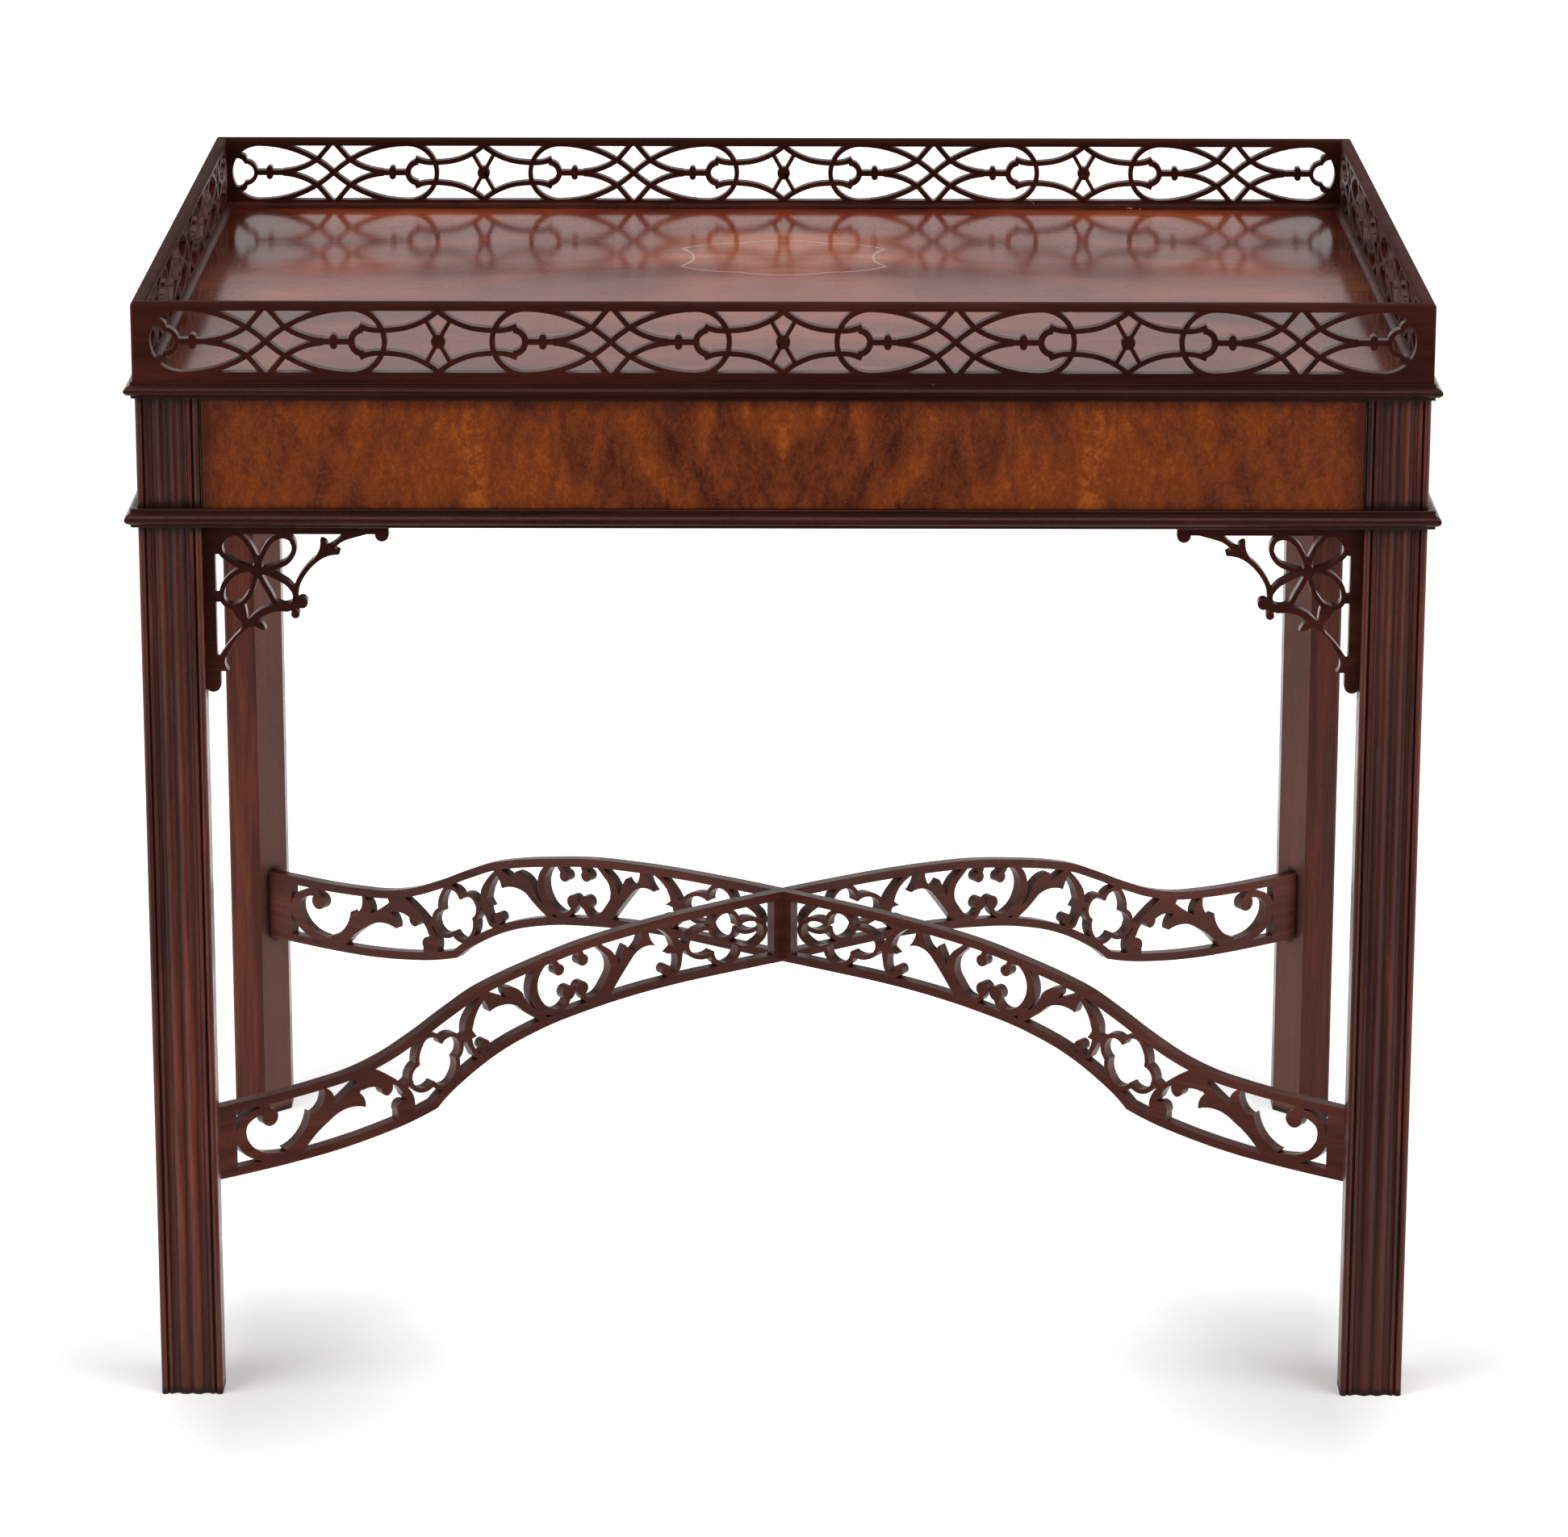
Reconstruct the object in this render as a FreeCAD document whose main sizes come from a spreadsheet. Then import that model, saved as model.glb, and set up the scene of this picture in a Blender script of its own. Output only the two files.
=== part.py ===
import FreeCAD, Part
import math
import os
from FreeCAD import Placement, Rotation, Vector

# A rectangular tea table with a pierced gallery, moulded square legs, pierced brackets
# and a pierced cross stretcher. Millimetres, +Z up, +X to the right, -Y to the front.
# The origin is on the floor under the middle of the top.
DOC = FreeCAD.newDocument("tea_table")
SHEET = DOC.addObject("Spreadsheet::Sheet", "Sizes")

SIZES = {
    # whole table
    "top_length": 813.0,
    "top_depth": 600.0,
    "total_height": 727.0,
    # gallery round the top
    "gallery_height": 50.6,
    "gallery_thickness": 8.0,
    "gallery_overhang": 1.0,
    "gallery_top_rail": 5.3,
    "gallery_foot_rail": 6.3,
    "gallery_post": 10.0,
    "gallery_rounding": 2.2,
    "gallery_bar": 3.3,
    "gallery_stem": 3.8,
    "gallery_spoke": 2.6,
    "gallery_boss_radius": 4.5,
    "gallery_cup_radius": 7.5,
    "gallery_end_cup_radius": 7.85,
    "gallery_knob_width": 4.6,
    "gallery_knob_height": 9.6,
    "cove_size": 4.0,
    # top
    "board_thickness": 10.6,
    "top_veneer_thickness": 0.8,
    "upper_moulding_reach": 6.4,
    "inlay_length": 140.0,
    "inlay_depth": 124.0,
    "inlay_offset": 106.0,
    "inlay_line": 1.6,
    # frieze
    "rail_height": 82.3,
    "rail_thickness": 20.0,
    "frieze_veneer_thickness": 1.2,
    "frieze_veneer_gap": 1.5,
    "lower_moulding_height": 12.2,
    "lower_moulding_reach": 7.8,
    "tenon_length": 18.0,
    "tenon_thickness": 8.0,
    "tenon_shoulder": 10.0,
    # corner blocks and the screws that hold the top
    "block_reach": 88.0,
    "block_height": 46.0,
    "screw_diameter": 4.0,
    "screw_head_diameter": 8.0,
    "screw_head_height": 2.4,
    "screw_grip": 7.0,
    "screw_spacing": 30.0,
    # legs
    "leg_width": 40.0,
    "leg_chamfer": 18.0,
    # brackets
    "bracket_length": 117.0,
    "bracket_drop": 110.0,
    "bracket_thickness": 9.0,
    "bracket_setback": 9.0,
    "bracket_strip": 7.2,
    "bracket_head": 7.0,
    "bracket_bar": 3.2,
    # cross stretcher
    "stretcher_thickness": 8.0,
    "stretcher_floor_gap": 137.5,
    "stretcher_rise": 117.5,
    "stretcher_rail": 6.0,
    "stretcher_post": 10.0,
    "stretcher_bar": 3.2,
    "stretcher_tenon_length": 10.0,
    "stretcher_tenon_shoulder": 9.0,
    # how far a cutting solid runs past what it cuts
    "overrun": 2.0,
}

for row, (alias, value) in enumerate(SIZES.items(), start=1):
    SHEET.set(f"A{row}", alias)
    SHEET.set(f"B{row}", str(value))
    SHEET.setAlias(f"B{row}", alias)
DOC.recompute()


def size(alias):
    """A driving dimension, read from the sheet."""
    return float(SHEET.get(alias))


# Planes and lines that several pieces share
OUTER_X = size("top_length") / 2 - size("gallery_overhang")
OUTER_Y = size("top_depth") / 2 - size("gallery_overhang")
GALLERY_X = size("top_length") / 2
GALLERY_Y = size("top_depth") / 2
BASE_Z = size("total_height") - size("gallery_height")
LEG_TOP_Z = BASE_Z - size("board_thickness")
RAIL_FOOT_Z = LEG_TOP_Z - size("rail_height")
INNER_LEG = size("leg_width") - size("leg_chamfer") / 2
ARM_X = OUTER_X - INNER_LEG
ARM_Y = OUTER_Y - INNER_LEG
ARM_LENGTH = math.hypot(ARM_X, ARM_Y)
ARM_ANGLE = math.degrees(math.atan2(ARM_Y, ARM_X))
OVER = size("overrun")

# The four sides, each seen from outside: turn about Z, the length that the side follows,
# half run of the wall, and its distance from the middle
SIDES = {
    "front": (0.0, "top_length", OUTER_X, OUTER_Y),
    "right": (90.0, "top_depth", OUTER_Y, OUTER_X),
    "back": (180.0, "top_length", OUTER_X, OUTER_Y),
    "left": (270.0, "top_depth", OUTER_Y, OUTER_X),
}
CORNERS = ("front_left", "front_right", "back_right", "back_left")
SUB_PARTS = []


def turned(x, y, z, degrees):
    """The placement that turns a piece about Z after a shift."""
    turn = Placement(Vector(), Rotation(Vector(0, 0, 1), degrees))
    return turn.multiply(Placement(Vector(x, y, z), Rotation()))


def finish(item, label, placement):
    """Name a sub-part, place it and list it for export."""
    item.Label = label
    item.Placement = placement
    SUB_PARTS.append(item)
    return item


def feature(label, shape, placement):
    """A sub-part whose outline is drawn with arcs and fused from bars."""
    item = DOC.addObject("Part::Feature", label + "_form")
    item.Shape = shape
    return finish(item, label, placement)


# Sketch and body helpers


def origin_plane(body, role):
    for item in body.Origin.OriginFeatures:
        if item.Role == role:
            return item
    raise ValueError(role)


def add_sketch(body, name, role, edges):
    """A sketch on one of the body's own planes. Each edge is two points or three."""
    sketch = body.newObject("Sketcher::SketchObject", name)
    sketch.AttachmentSupport = [(origin_plane(body, role), "")]
    sketch.MapMode = "FlatFace"
    for edge in edges:
        points = [Vector(u, v, 0) for u, v in edge]
        if len(points) == 2:
            sketch.addGeometry(Part.LineSegment(points[0], points[1]))
        else:
            sketch.addGeometry(Part.Arc(points[0], points[1], points[2]))
    return sketch


def outline(points):
    """Straight edges through a closed run of points."""
    return [(start, end) for start, end in zip(points, points[1:] + points[:1])]


def rectangle(left, low, right, high):
    return outline([(left, low), (right, low), (right, high), (left, high)])


def add_pad(body, name, sketch, length, midplane=False):
    pad = body.newObject("PartDesign::Pad", name)
    pad.Profile = sketch
    pad.Midplane = midplane
    pad.setExpression("Length", length)
    sketch.Visibility = False
    return pad


def add_pocket(body, name, sketch, length, reversed_side=False, midplane=False):
    pocket = body.newObject("PartDesign::Pocket", name)
    pocket.Profile = sketch
    pocket.Midplane = midplane
    pocket.Reversed = reversed_side
    pocket.setExpression("Length", length)
    return pocket


# Flat fretwork helpers. Every fret is drawn as bars, discs and leaves in one plane.

# A bow or turn smaller than this share of its length counts as straight
STRAIGHT_SHARE = 1e-3
HIP_SHARE = math.sqrt(0.5)


def edge_through(start, middle, end):
    """An arc through three points, or a line where they are in a row."""
    chord = end - start
    bow = (middle - start).cross(chord).Length / chord.Length
    if bow < chord.Length * STRAIGHT_SHARE:
        return Part.LineSegment(start, end).toShape()
    return Part.Arc(start, middle, end).toShape()


def left_of(direction):
    return Vector(-direction.y, direction.x, 0).normalize()


def arc_from(start, tangent, end):
    """The middle point and end tangent of the arc that leaves start along tangent."""
    chord = end - start
    side = left_of(tangent)
    lean = chord.dot(side)
    if abs(lean) < chord.Length * STRAIGHT_SHARE:
        return (start + end) / 2, tangent
    radius = chord.dot(chord) / (2 * lean)
    centre = start + side * radius
    out = (start - centre) + (end - centre)
    if out.Length < abs(radius) * STRAIGHT_SHARE:
        out = Vector(tangent)
    middle = centre + out.normalize() * abs(radius)
    mirror = chord.normalize()
    end_tangent = mirror * (2 * tangent.dot(mirror)) - tangent
    return middle, end_tangent


def biarc_joint(start, leave, end, reach):
    """The point where two tangent arcs meet between two directed points."""
    span = end - start
    both = leave + reach
    spread = 2 * (1 - leave.dot(reach))
    along = span.dot(both)
    if spread < STRAIGHT_SHARE:
        step = span.dot(span) / (4 * span.dot(reach))
    else:
        step = (math.sqrt(along * along + spread * span.dot(span)) - along) / spread
    return (start + end + (leave - reach) * step) / 2


def directions(points, closed):
    """A direction at each point, along the circle through it and its neighbours."""
    found = []
    count = len(points)
    for index, here in enumerate(points):
        before = points[index - 1] if index or closed else None
        after = points[(index + 1) % count] if index < count - 1 or closed else None
        if before is None or after is None:
            found.append(None)
            continue
        back = here - before
        ahead = after - here
        found.append((back * ahead.Length ** 2 + ahead * back.Length ** 2).normalize())
    for index, near in ((0, 1), (-1, -2)):
        if found[index] is None:
            step = points[near] - points[index] if index == 0 else points[index] - points[near]
            step.normalize()
            if len(points) == 2:
                found[index] = step
            else:
                found[index] = step * (2 * found[near].dot(step)) - found[near]
    return found


def smooth_path(points, closed=False):
    """Tangent arcs through the points, each as start, middle, end and two tangents."""
    aims = directions(points, closed)
    spans = list(zip(points, aims, points[1:] + points[:1], aims[1:] + aims[:1]))
    if not closed:
        spans = spans[:-1]
    path = []
    for start, leave, end, reach in spans:
        joint = biarc_joint(start, leave, end, reach)
        first, turn = arc_from(start, leave, joint)
        second, _ = arc_from(joint, turn, end)
        path.append((start, first, joint, leave, turn))
        path.append((joint, second, end, turn, reach))
    return path


def band(points, widths, sides=(-0.5, 0.5), closed=False):
    """A bar along a smooth line. Each point has its width, which changes evenly."""
    path = smooth_path(points, closed)
    ends = widths + widths[:1] if closed else widths
    count = len(path)
    runs = {side: [] for side in sides}
    for index, (start, middle, end, leave, reach) in enumerate(path):
        near = ends[index // 2]
        far = ends[index // 2 + 1]
        half = (near + far) / 2
        first = near if index % 2 == 0 else half
        last = half if index % 2 == 0 else far
        aim = (end - start).normalize()
        for side in sides:
            runs[side].append((start + left_of(leave) * side * first,
                               middle + left_of(aim) * side * (first + last) / 2,
                               end + left_of(reach) * side * last))
    right, left = (runs[side] for side in sides)
    if closed:
        rims = [Part.Wire([edge_through(*step) for step in run]) for run in (left, right)]
        faces = sorted((Part.Face(rim) for rim in rims), key=lambda face: face.Area)
        return faces[1].cut(faces[0])
    edges = [edge_through(*step) for step in right]
    edges.append(Part.LineSegment(right[count - 1][2], left[count - 1][2]).toShape())
    edges += [edge_through(*reversed(step)) for step in reversed(left)]
    edges.append(Part.LineSegment(left[0][0], right[0][0]).toShape())
    return Part.Face(Part.Wire(edges))


def disc(centre, radius):
    return Part.Face(Part.Wire(Part.Circle(centre, Vector(0, 0, 1), radius).toShape()))


def leaf(points):
    """A closed form of arcs: tips and the points that the arcs pass, by turns."""
    count = len(points)
    edges = []
    for index in range(0, count, 2):
        edges.append(edge_through(points[index], points[index + 1], points[(index + 2) % count]))
    return Part.Face(Part.Wire(edges))


def plate(left, low, right, high):
    corners = [Vector(left, low), Vector(right, low), Vector(right, high), Vector(left, high)]
    return Part.Face(Part.makePolygon(corners + corners[:1]))


def mirrored(shape, normal):
    return shape.mirror(Vector(), normal)


def joined(faces):
    """One flat face from overlapping faces."""
    slabs = [face.extrude(Vector(0, 0, OVER)) for face in faces]
    whole = slabs[0].multiFuse(slabs[1:]).removeSplitter()
    flat = [face for face in whole.Faces if face.BoundBox.ZMax < OVER / 2]
    if len(flat) != 1:
        spans = [(round(box.XMin), round(box.YMin), round(box.XMax), round(box.YMax))
                 for box in (face.BoundBox for face in flat)]
        raise ValueError(f"the fret came apart: {spans}")
    return flat[0]


# Legs: square, moulded on the two outer faces, with the inner corner chamfered

# Across one outer face, from the arris to the middle: place and depth, as shares of the width
BEAD_SHARE = 0.056
QUIRK_END_SHARE = 0.136
FILLET_DEPTH_SHARE = 0.018
FILLET_END_SHARE = 0.190
HOLLOW_SHARES = (0.250, 0.060)
ROUND_START_SHARES = (0.310, 0.040)
ROUND_SHARES = (0.395, 0.004)
ROUND_END_SHARES = (0.470, 0.030)
MIDDLE_SHARES = (0.500, 0.048)


def leg_face_edges(width):
    """The moulded outer face from the quirk beside the arris to the inner bead."""
    bead = BEAD_SHARE * width
    bottom = 2 * bead
    quirk_end = QUIRK_END_SHARE * width
    fillet = FILLET_DEPTH_SHARE * width
    fillet_end = FILLET_END_SHARE * width
    hollow, crest_start, crest, crest_end, middle = (
        (place * width, depth * width)
        for place, depth in (HOLLOW_SHARES, ROUND_START_SHARES, ROUND_SHARES,
                             ROUND_END_SHARES, MIDDLE_SHARES))
    half = [
        ((bottom, bead), (quirk_end, bead)),
        ((quirk_end, bead), (quirk_end, fillet)),
        ((quirk_end, fillet), (fillet_end, fillet)),
        ((fillet_end, fillet), hollow, crest_start),
        (crest_start, crest, crest_end),
        (crest_end, middle),
    ]
    other = [tuple((width - place, depth) for place, depth in reversed(edge))
             for edge in reversed(half)]
    inner_bead = ((width - bottom, bead), (width - bead, 0.0), (width, bead))
    return half + other + [inner_bead]


def leg_section():
    """The closed section, with the outer arris at the origin and the leg towards +X +Y."""
    width = size("leg_width")
    flat = width - size("leg_chamfer")
    bead = BEAD_SHARE * width
    front = leg_face_edges(width)
    flank = [tuple((depth, place) for place, depth in reversed(edge)) for edge in reversed(front)]
    corner = bead - bead * HIP_SHARE
    arris = ((bead, 2 * bead), (corner, corner), (2 * bead, bead))
    inner = [((width, bead), (width, flat)), ((width, flat), (flat, width)),
             ((flat, width), (bead, width))]
    return front + inner + flank + [arris]


def mortise(name, length, thickness, height, placement):
    box = DOC.addObject("Part::Box", name)
    box.setExpression("Length", length)
    box.setExpression("Width", thickness)
    box.setExpression("Height", height)
    box.Placement = placement
    return box


def rail_tenon_inset():
    """From a leg's outer face to the near side of a rail's tenon."""
    slack = size("rail_thickness") - size("tenon_thickness")
    return size("frieze_veneer_thickness") + slack / 2


def stretcher_tenon_low():
    return size("stretcher_floor_gap") + size("stretcher_tenon_shoulder")


# The arm's height at the leg, as a share of the whole rise
ARM_END_SHARE = 0.425


def make_leg(index, corner):
    body = DOC.addObject("PartDesign::Body", f"{corner}_leg_blank")
    section = add_sketch(body, f"{corner}_leg_section", "XY_Plane", leg_section())
    add_pad(body, f"{corner}_leg_length", section,
            "Sizes.total_height - Sizes.gallery_height - Sizes.board_thickness")
    width = size("leg_width")
    inset = rail_tenon_inset()
    depth = size("tenon_length")
    low = RAIL_FOOT_Z + size("tenon_shoulder")
    rail_height = "Sizes.rail_height - 2 * Sizes.tenon_shoulder"
    along_x = mortise(f"{corner}_mortise_x", "Sizes.tenon_length + Sizes.overrun",
                      "Sizes.tenon_thickness", rail_height,
                      Placement(Vector(width - depth, inset, low), Rotation()))
    along_y = mortise(f"{corner}_mortise_y", "Sizes.tenon_thickness",
                      "Sizes.tenon_length + Sizes.overrun", rail_height,
                      Placement(Vector(inset, width - depth, low), Rotation()))
    angle = ARM_ANGLE if index % 2 == 0 else 90.0 - ARM_ANGLE
    thickness = size("stretcher_thickness")
    reach = size("stretcher_tenon_length")
    aim = Rotation(Vector(0, 0, 1), angle)
    start = Vector(INNER_LEG, INNER_LEG, 0) - aim.multVec(Vector(reach, thickness / 2, 0))
    start.z = stretcher_tenon_low()
    foot = mortise(f"{corner}_mortise_foot", "2 * Sizes.stretcher_tenon_length",
                   "Sizes.stretcher_thickness",
                   f"{ARM_END_SHARE} * Sizes.stretcher_rise - 2 * Sizes.stretcher_tenon_shoulder",
                   Placement(start, aim))
    holes = DOC.addObject("Part::MultiFuse", f"{corner}_mortises")
    holes.Shapes = [along_x, along_y, foot]
    leg = DOC.addObject("Part::Cut", f"{corner}_leg")
    leg.Base = body
    leg.Tool = holes
    run = OUTER_X if index % 2 == 0 else OUTER_Y
    distance = OUTER_Y if index % 2 == 0 else OUTER_X
    return finish(leg, f"leg_{corner}", turned(-run, -distance, 0.0, 90.0 * index))


# Frieze: a rail between the legs, tenoned into them, and its veneer panel


def make_rail(side, degrees, length_name, distance):
    clear = f"Sizes.{length_name} - 2 * Sizes.gallery_overhang - 2 * Sizes.leg_width"
    body = DOC.addObject("PartDesign::Body", f"{side}_rail")
    near = size("frieze_veneer_thickness")
    far = near + size("rail_thickness")
    web = add_sketch(body, f"{side}_rail_section", "YZ_Plane",
                     rectangle(near, 0.0, far, size("rail_height")))
    add_pad(body, f"{side}_rail_length", web, clear, midplane=True)
    inset = rail_tenon_inset()
    shoulder = size("tenon_shoulder")
    tongue = add_sketch(body, f"{side}_tenon_section", "YZ_Plane",
                        rectangle(inset, shoulder, inset + size("tenon_thickness"),
                                  size("rail_height") - shoulder))
    add_pad(body, f"{side}_tenons", tongue, clear + " + 2 * Sizes.tenon_length", midplane=True)
    finish(body, f"frieze_rail_{side}", turned(0.0, -distance, RAIL_FOOT_Z, degrees))


def make_frieze_veneer(side, degrees, length_name, distance):
    body = DOC.addObject("PartDesign::Body", f"{side}_veneer")
    sheet = add_sketch(body, f"{side}_veneer_section", "YZ_Plane",
                       rectangle(0.0, 0.0, size("frieze_veneer_thickness"), size("rail_height")))
    add_pad(body, f"{side}_veneer_length", sheet,
            f"Sizes.{length_name} - 2 * Sizes.gallery_overhang - 2 * Sizes.leg_width"
            " - 2 * Sizes.frieze_veneer_gap", midplane=True)
    finish(body, f"frieze_veneer_{side}", turned(0.0, -distance, RAIL_FOOT_Z, degrees))


# Mitred strips: mouldings outside the frieze and a cove inside the gallery

# Upper moulding, from its foot up: reach out and height, as shares of reach and height
UPPER_EDGE_SHARES = (
    ((0.00, 0.00), (0.20, 0.00)),
    ((0.20, 0.00), (0.29, 0.03), (0.32, 0.10)),
    ((0.32, 0.10), (0.344, 0.179)),
    ((0.344, 0.179), (0.547, 0.217)),
    ((0.547, 0.217), (0.766, 0.278), (0.922, 0.368)),
    ((0.922, 0.368), (1.00, 0.500), (0.914, 0.623)),
    ((0.914, 0.623), (0.672, 0.745), (0.344, 0.830)),
    ((0.344, 0.830), (0.35, 0.94)),
    ((0.35, 0.94), (0.34, 0.985), (0.29, 1.00)),
    ((0.29, 1.00), (0.00, 1.00)),
    ((0.00, 1.00), (0.00, 0.00)),
)
LOWER_EDGE_SHARES = (
    ((0.00, 0.00), (0.36, 0.00)),
    ((0.36, 0.00), (0.48, 0.03), (0.53, 0.10)),
    ((0.53, 0.10), (0.54, 0.165)),
    ((0.54, 0.165), (0.62, 0.185)),
    ((0.62, 0.185), (0.80, 0.235), (0.93, 0.32)),
    ((0.93, 0.32), (1.00, 0.47), (0.91, 0.60)),
    ((0.91, 0.60), (0.74, 0.70), (0.52, 0.76)),
    ((0.52, 0.76), (0.53, 0.93)),
    ((0.53, 0.93), (0.51, 0.985), (0.45, 1.00)),
    ((0.45, 1.00), (0.00, 1.00)),
    ((0.00, 1.00), (0.00, 0.00)),
)
# Cove in the angle between the gallery and the top
COVE_EDGE_SHARES = (
    ((0.00, 0.00), (1.00, 0.00)),
    ((1.00, 0.00), (1.00, 0.22)),
    ((1.00, 0.22), (0.44, 0.44), (0.22, 1.00)),
    ((0.22, 1.00), (0.00, 1.00)),
    ((0.00, 1.00), (0.00, 0.00)),
)


def scaled(edge_shares, reach, height):
    return [tuple((place * reach, rise * height) for place, rise in edge) for edge in edge_shares]


def make_strip(name, edges, wall_half, depths, length, place):
    """A strip with both ends mitred at 45 degrees. Depths run from outside to inside."""
    body = DOC.addObject("PartDesign::Body", name + "_strip")
    section = add_sketch(body, name + "_section", "YZ_Plane", edges)
    add_pad(body, name + "_length", section, length, midplane=True)
    outer, inner = (depths[0] - OVER, depths[1] + OVER)
    far = wall_half + size("lower_moulding_reach") + 2 * OVER
    half = [(wall_half - outer, outer), (far + OVER, outer), (far + OVER, inner),
            (wall_half - inner, inner)]
    wedges = outline(half) + outline([(-u, v) for u, v in half])
    mitre = add_sketch(body, name + "_mitre", "XY_Plane", wedges)
    add_pocket(body, name + "_mitres", mitre, "4 * Sizes.total_height", midplane=True)
    return finish(body, name, place)


def make_mouldings(side, degrees, length_name, half, distance):
    upper = size("upper_moulding_reach")
    edges = [tuple((-u, v) for u, v in edge)
             for edge in scaled(UPPER_EDGE_SHARES, upper, size("board_thickness"))]
    length = f"Sizes.{length_name} + 2 * Sizes.upper_moulding_reach"
    make_strip(f"upper_moulding_{side}", edges, half, (-upper, 0.0), length,
               turned(0.0, -distance, LEG_TOP_Z, degrees))
    lower = size("lower_moulding_reach")
    edges = [tuple((-u, v) for u, v in edge)
             for edge in scaled(LOWER_EDGE_SHARES, lower, size("lower_moulding_height"))]
    length = f"Sizes.{length_name} + 2 * Sizes.lower_moulding_reach"
    make_strip(f"lower_moulding_{side}", edges, half, (-lower, 0.0), length,
               turned(0.0, -distance, RAIL_FOOT_Z, degrees))


def make_cove(side, degrees, length_name, half, distance):
    wall = size("gallery_thickness") - size("gallery_overhang")
    cove = size("cove_size")
    edges = scaled(COVE_EDGE_SHARES, cove, cove)
    length = f"Sizes.{length_name} - 2 * Sizes.gallery_thickness"
    make_strip(f"gallery_cove_{side}", edges, half - wall, (0.0, cove), length,
               turned(0.0, wall - distance, BASE_Z + size("top_veneer_thickness"), degrees))


# Top: a board under two sheets of veneer that meet in the middle


def block_places():
    """The screw places on one corner block, from the leg's outer arris."""
    near = size("frieze_veneer_thickness") + size("rail_thickness")
    middle = (size("block_reach") + near) / 2 - size("screw_head_diameter") / 2
    step = size("screw_spacing") / 2 / math.sqrt(2.0)
    return [(middle + step, middle - step), (middle - step, middle + step)]


def screw_places():
    """All screws through the corner blocks, seen from above."""
    places = []
    for sign_x in (-1, 1):
        for sign_y in (-1, 1):
            for u, v in block_places():
                places.append((sign_x * (OUTER_X - u), sign_y * (OUTER_Y - v)))
    return places


# The right half of the inlaid line, as shares of half its length and half its depth
INLAY_SHARES = (
    ((0.000, -1.000), (0.220, -0.960), (0.420, -0.840)),
    ((0.420, -0.840), (0.640, -0.800), (0.820, -0.700), (1.000, -0.500)),
    ((1.000, -0.500), (0.880, 0.000), (1.000, 0.500)),
    ((0.420, 0.840), (0.640, 0.800), (0.820, 0.700), (1.000, 0.500)),
    ((0.000, 1.000), (0.220, 0.960), (0.420, 0.840)),
)
# Radius of the joints in the inlaid line, as a share of its width
INLAY_JOINT_SHARE = 0.6


def inlay_face():
    """The thin light line let into the top: a cartouche with ogee corners."""
    line = size("inlay_line")
    reach = Vector(size("inlay_length") / 2, size("inlay_depth") / 2, 0)
    faces = []
    for table in INLAY_SHARES:
        points = [Vector(u * reach.x, v * reach.y, 0) for u, v in table]
        run = band(points, [line] * len(points))
        for face in (run, disc(points[-1], INLAY_JOINT_SHARE * line)):
            faces += [face, mirrored(face, Vector(1, 0, 0))]
    return joined(faces)


def make_top():
    body = DOC.addObject("PartDesign::Body", "board")
    plan = add_sketch(body, "board_plan", "XY_Plane", rectangle(-OUTER_X, -OUTER_Y, OUTER_X, OUTER_Y))
    add_pad(body, "board_pad", plan, "Sizes.board_thickness")
    pilots = add_sketch(body, "pilot_plan", "XY_Plane", [])
    for x, y in screw_places():
        pilots.addGeometry(Part.Circle(Vector(x, y, 0), Vector(0, 0, 1), size("screw_diameter") / 2))
    add_pocket(body, "pilot_holes", pilots, "Sizes.screw_grip", reversed_side=True)
    finish(body, "top_board", Placement(Vector(0, 0, LEG_TOP_Z), Rotation()))
    place = Placement(Vector(0, size("inlay_offset"), BASE_Z), Rotation())
    string = inlay_face().extrude(Vector(0, 0, size("top_veneer_thickness")))
    feature("top_inlay", string, place)
    inner_x = GALLERY_X - size("gallery_thickness")
    inner_y = GALLERY_Y - size("gallery_thickness")
    for label, left, right in (("top_veneer_left", -inner_x, 0.0), ("top_veneer_right", 0.0, inner_x)):
        body = DOC.addObject("PartDesign::Body", label + "_sheet")
        plan = add_sketch(body, label + "_plan", "XY_Plane", rectangle(left, -inner_y, right, inner_y))
        add_pad(body, label + "_pad", plan, "Sizes.top_veneer_thickness")
        groove = DOC.addObject("Part::Feature", label + "_groove")
        groove.Shape = string.copy()
        groove.Placement = Placement(Vector(0, size("inlay_offset"), 0), Rotation())
        leaf_sheet = DOC.addObject("Part::Cut", label)
        leaf_sheet.Base = body
        leaf_sheet.Tool = groove
        finish(leaf_sheet, label, Placement(Vector(0, 0, BASE_Z), Rotation()))


def make_corner_block(index, corner):
    """A glued block in each inner corner of the frieze, behind the leg."""
    width = size("leg_width")
    flat = width - size("leg_chamfer")
    near = size("frieze_veneer_thickness") + size("rail_thickness")
    reach = size("block_reach")
    body = DOC.addObject("PartDesign::Body", f"{corner}_block")
    plan = add_sketch(body, f"{corner}_block_plan", "XY_Plane", outline([
        (width, near), (reach, near), (near, reach), (near, width), (flat, width), (width, flat)]))
    for u, v in block_places():
        plan.addGeometry(Part.Circle(Vector(u, v, 0), Vector(0, 0, 1), size("screw_diameter") / 2))
    add_pad(body, f"{corner}_block_height", plan, "Sizes.block_height")
    run = OUTER_X if index % 2 == 0 else OUTER_Y
    distance = OUTER_Y if index % 2 == 0 else OUTER_X
    low = LEG_TOP_Z - size("block_height")
    finish(body, f"corner_block_{corner}", turned(-run, -distance, low, 90.0 * index))


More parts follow.
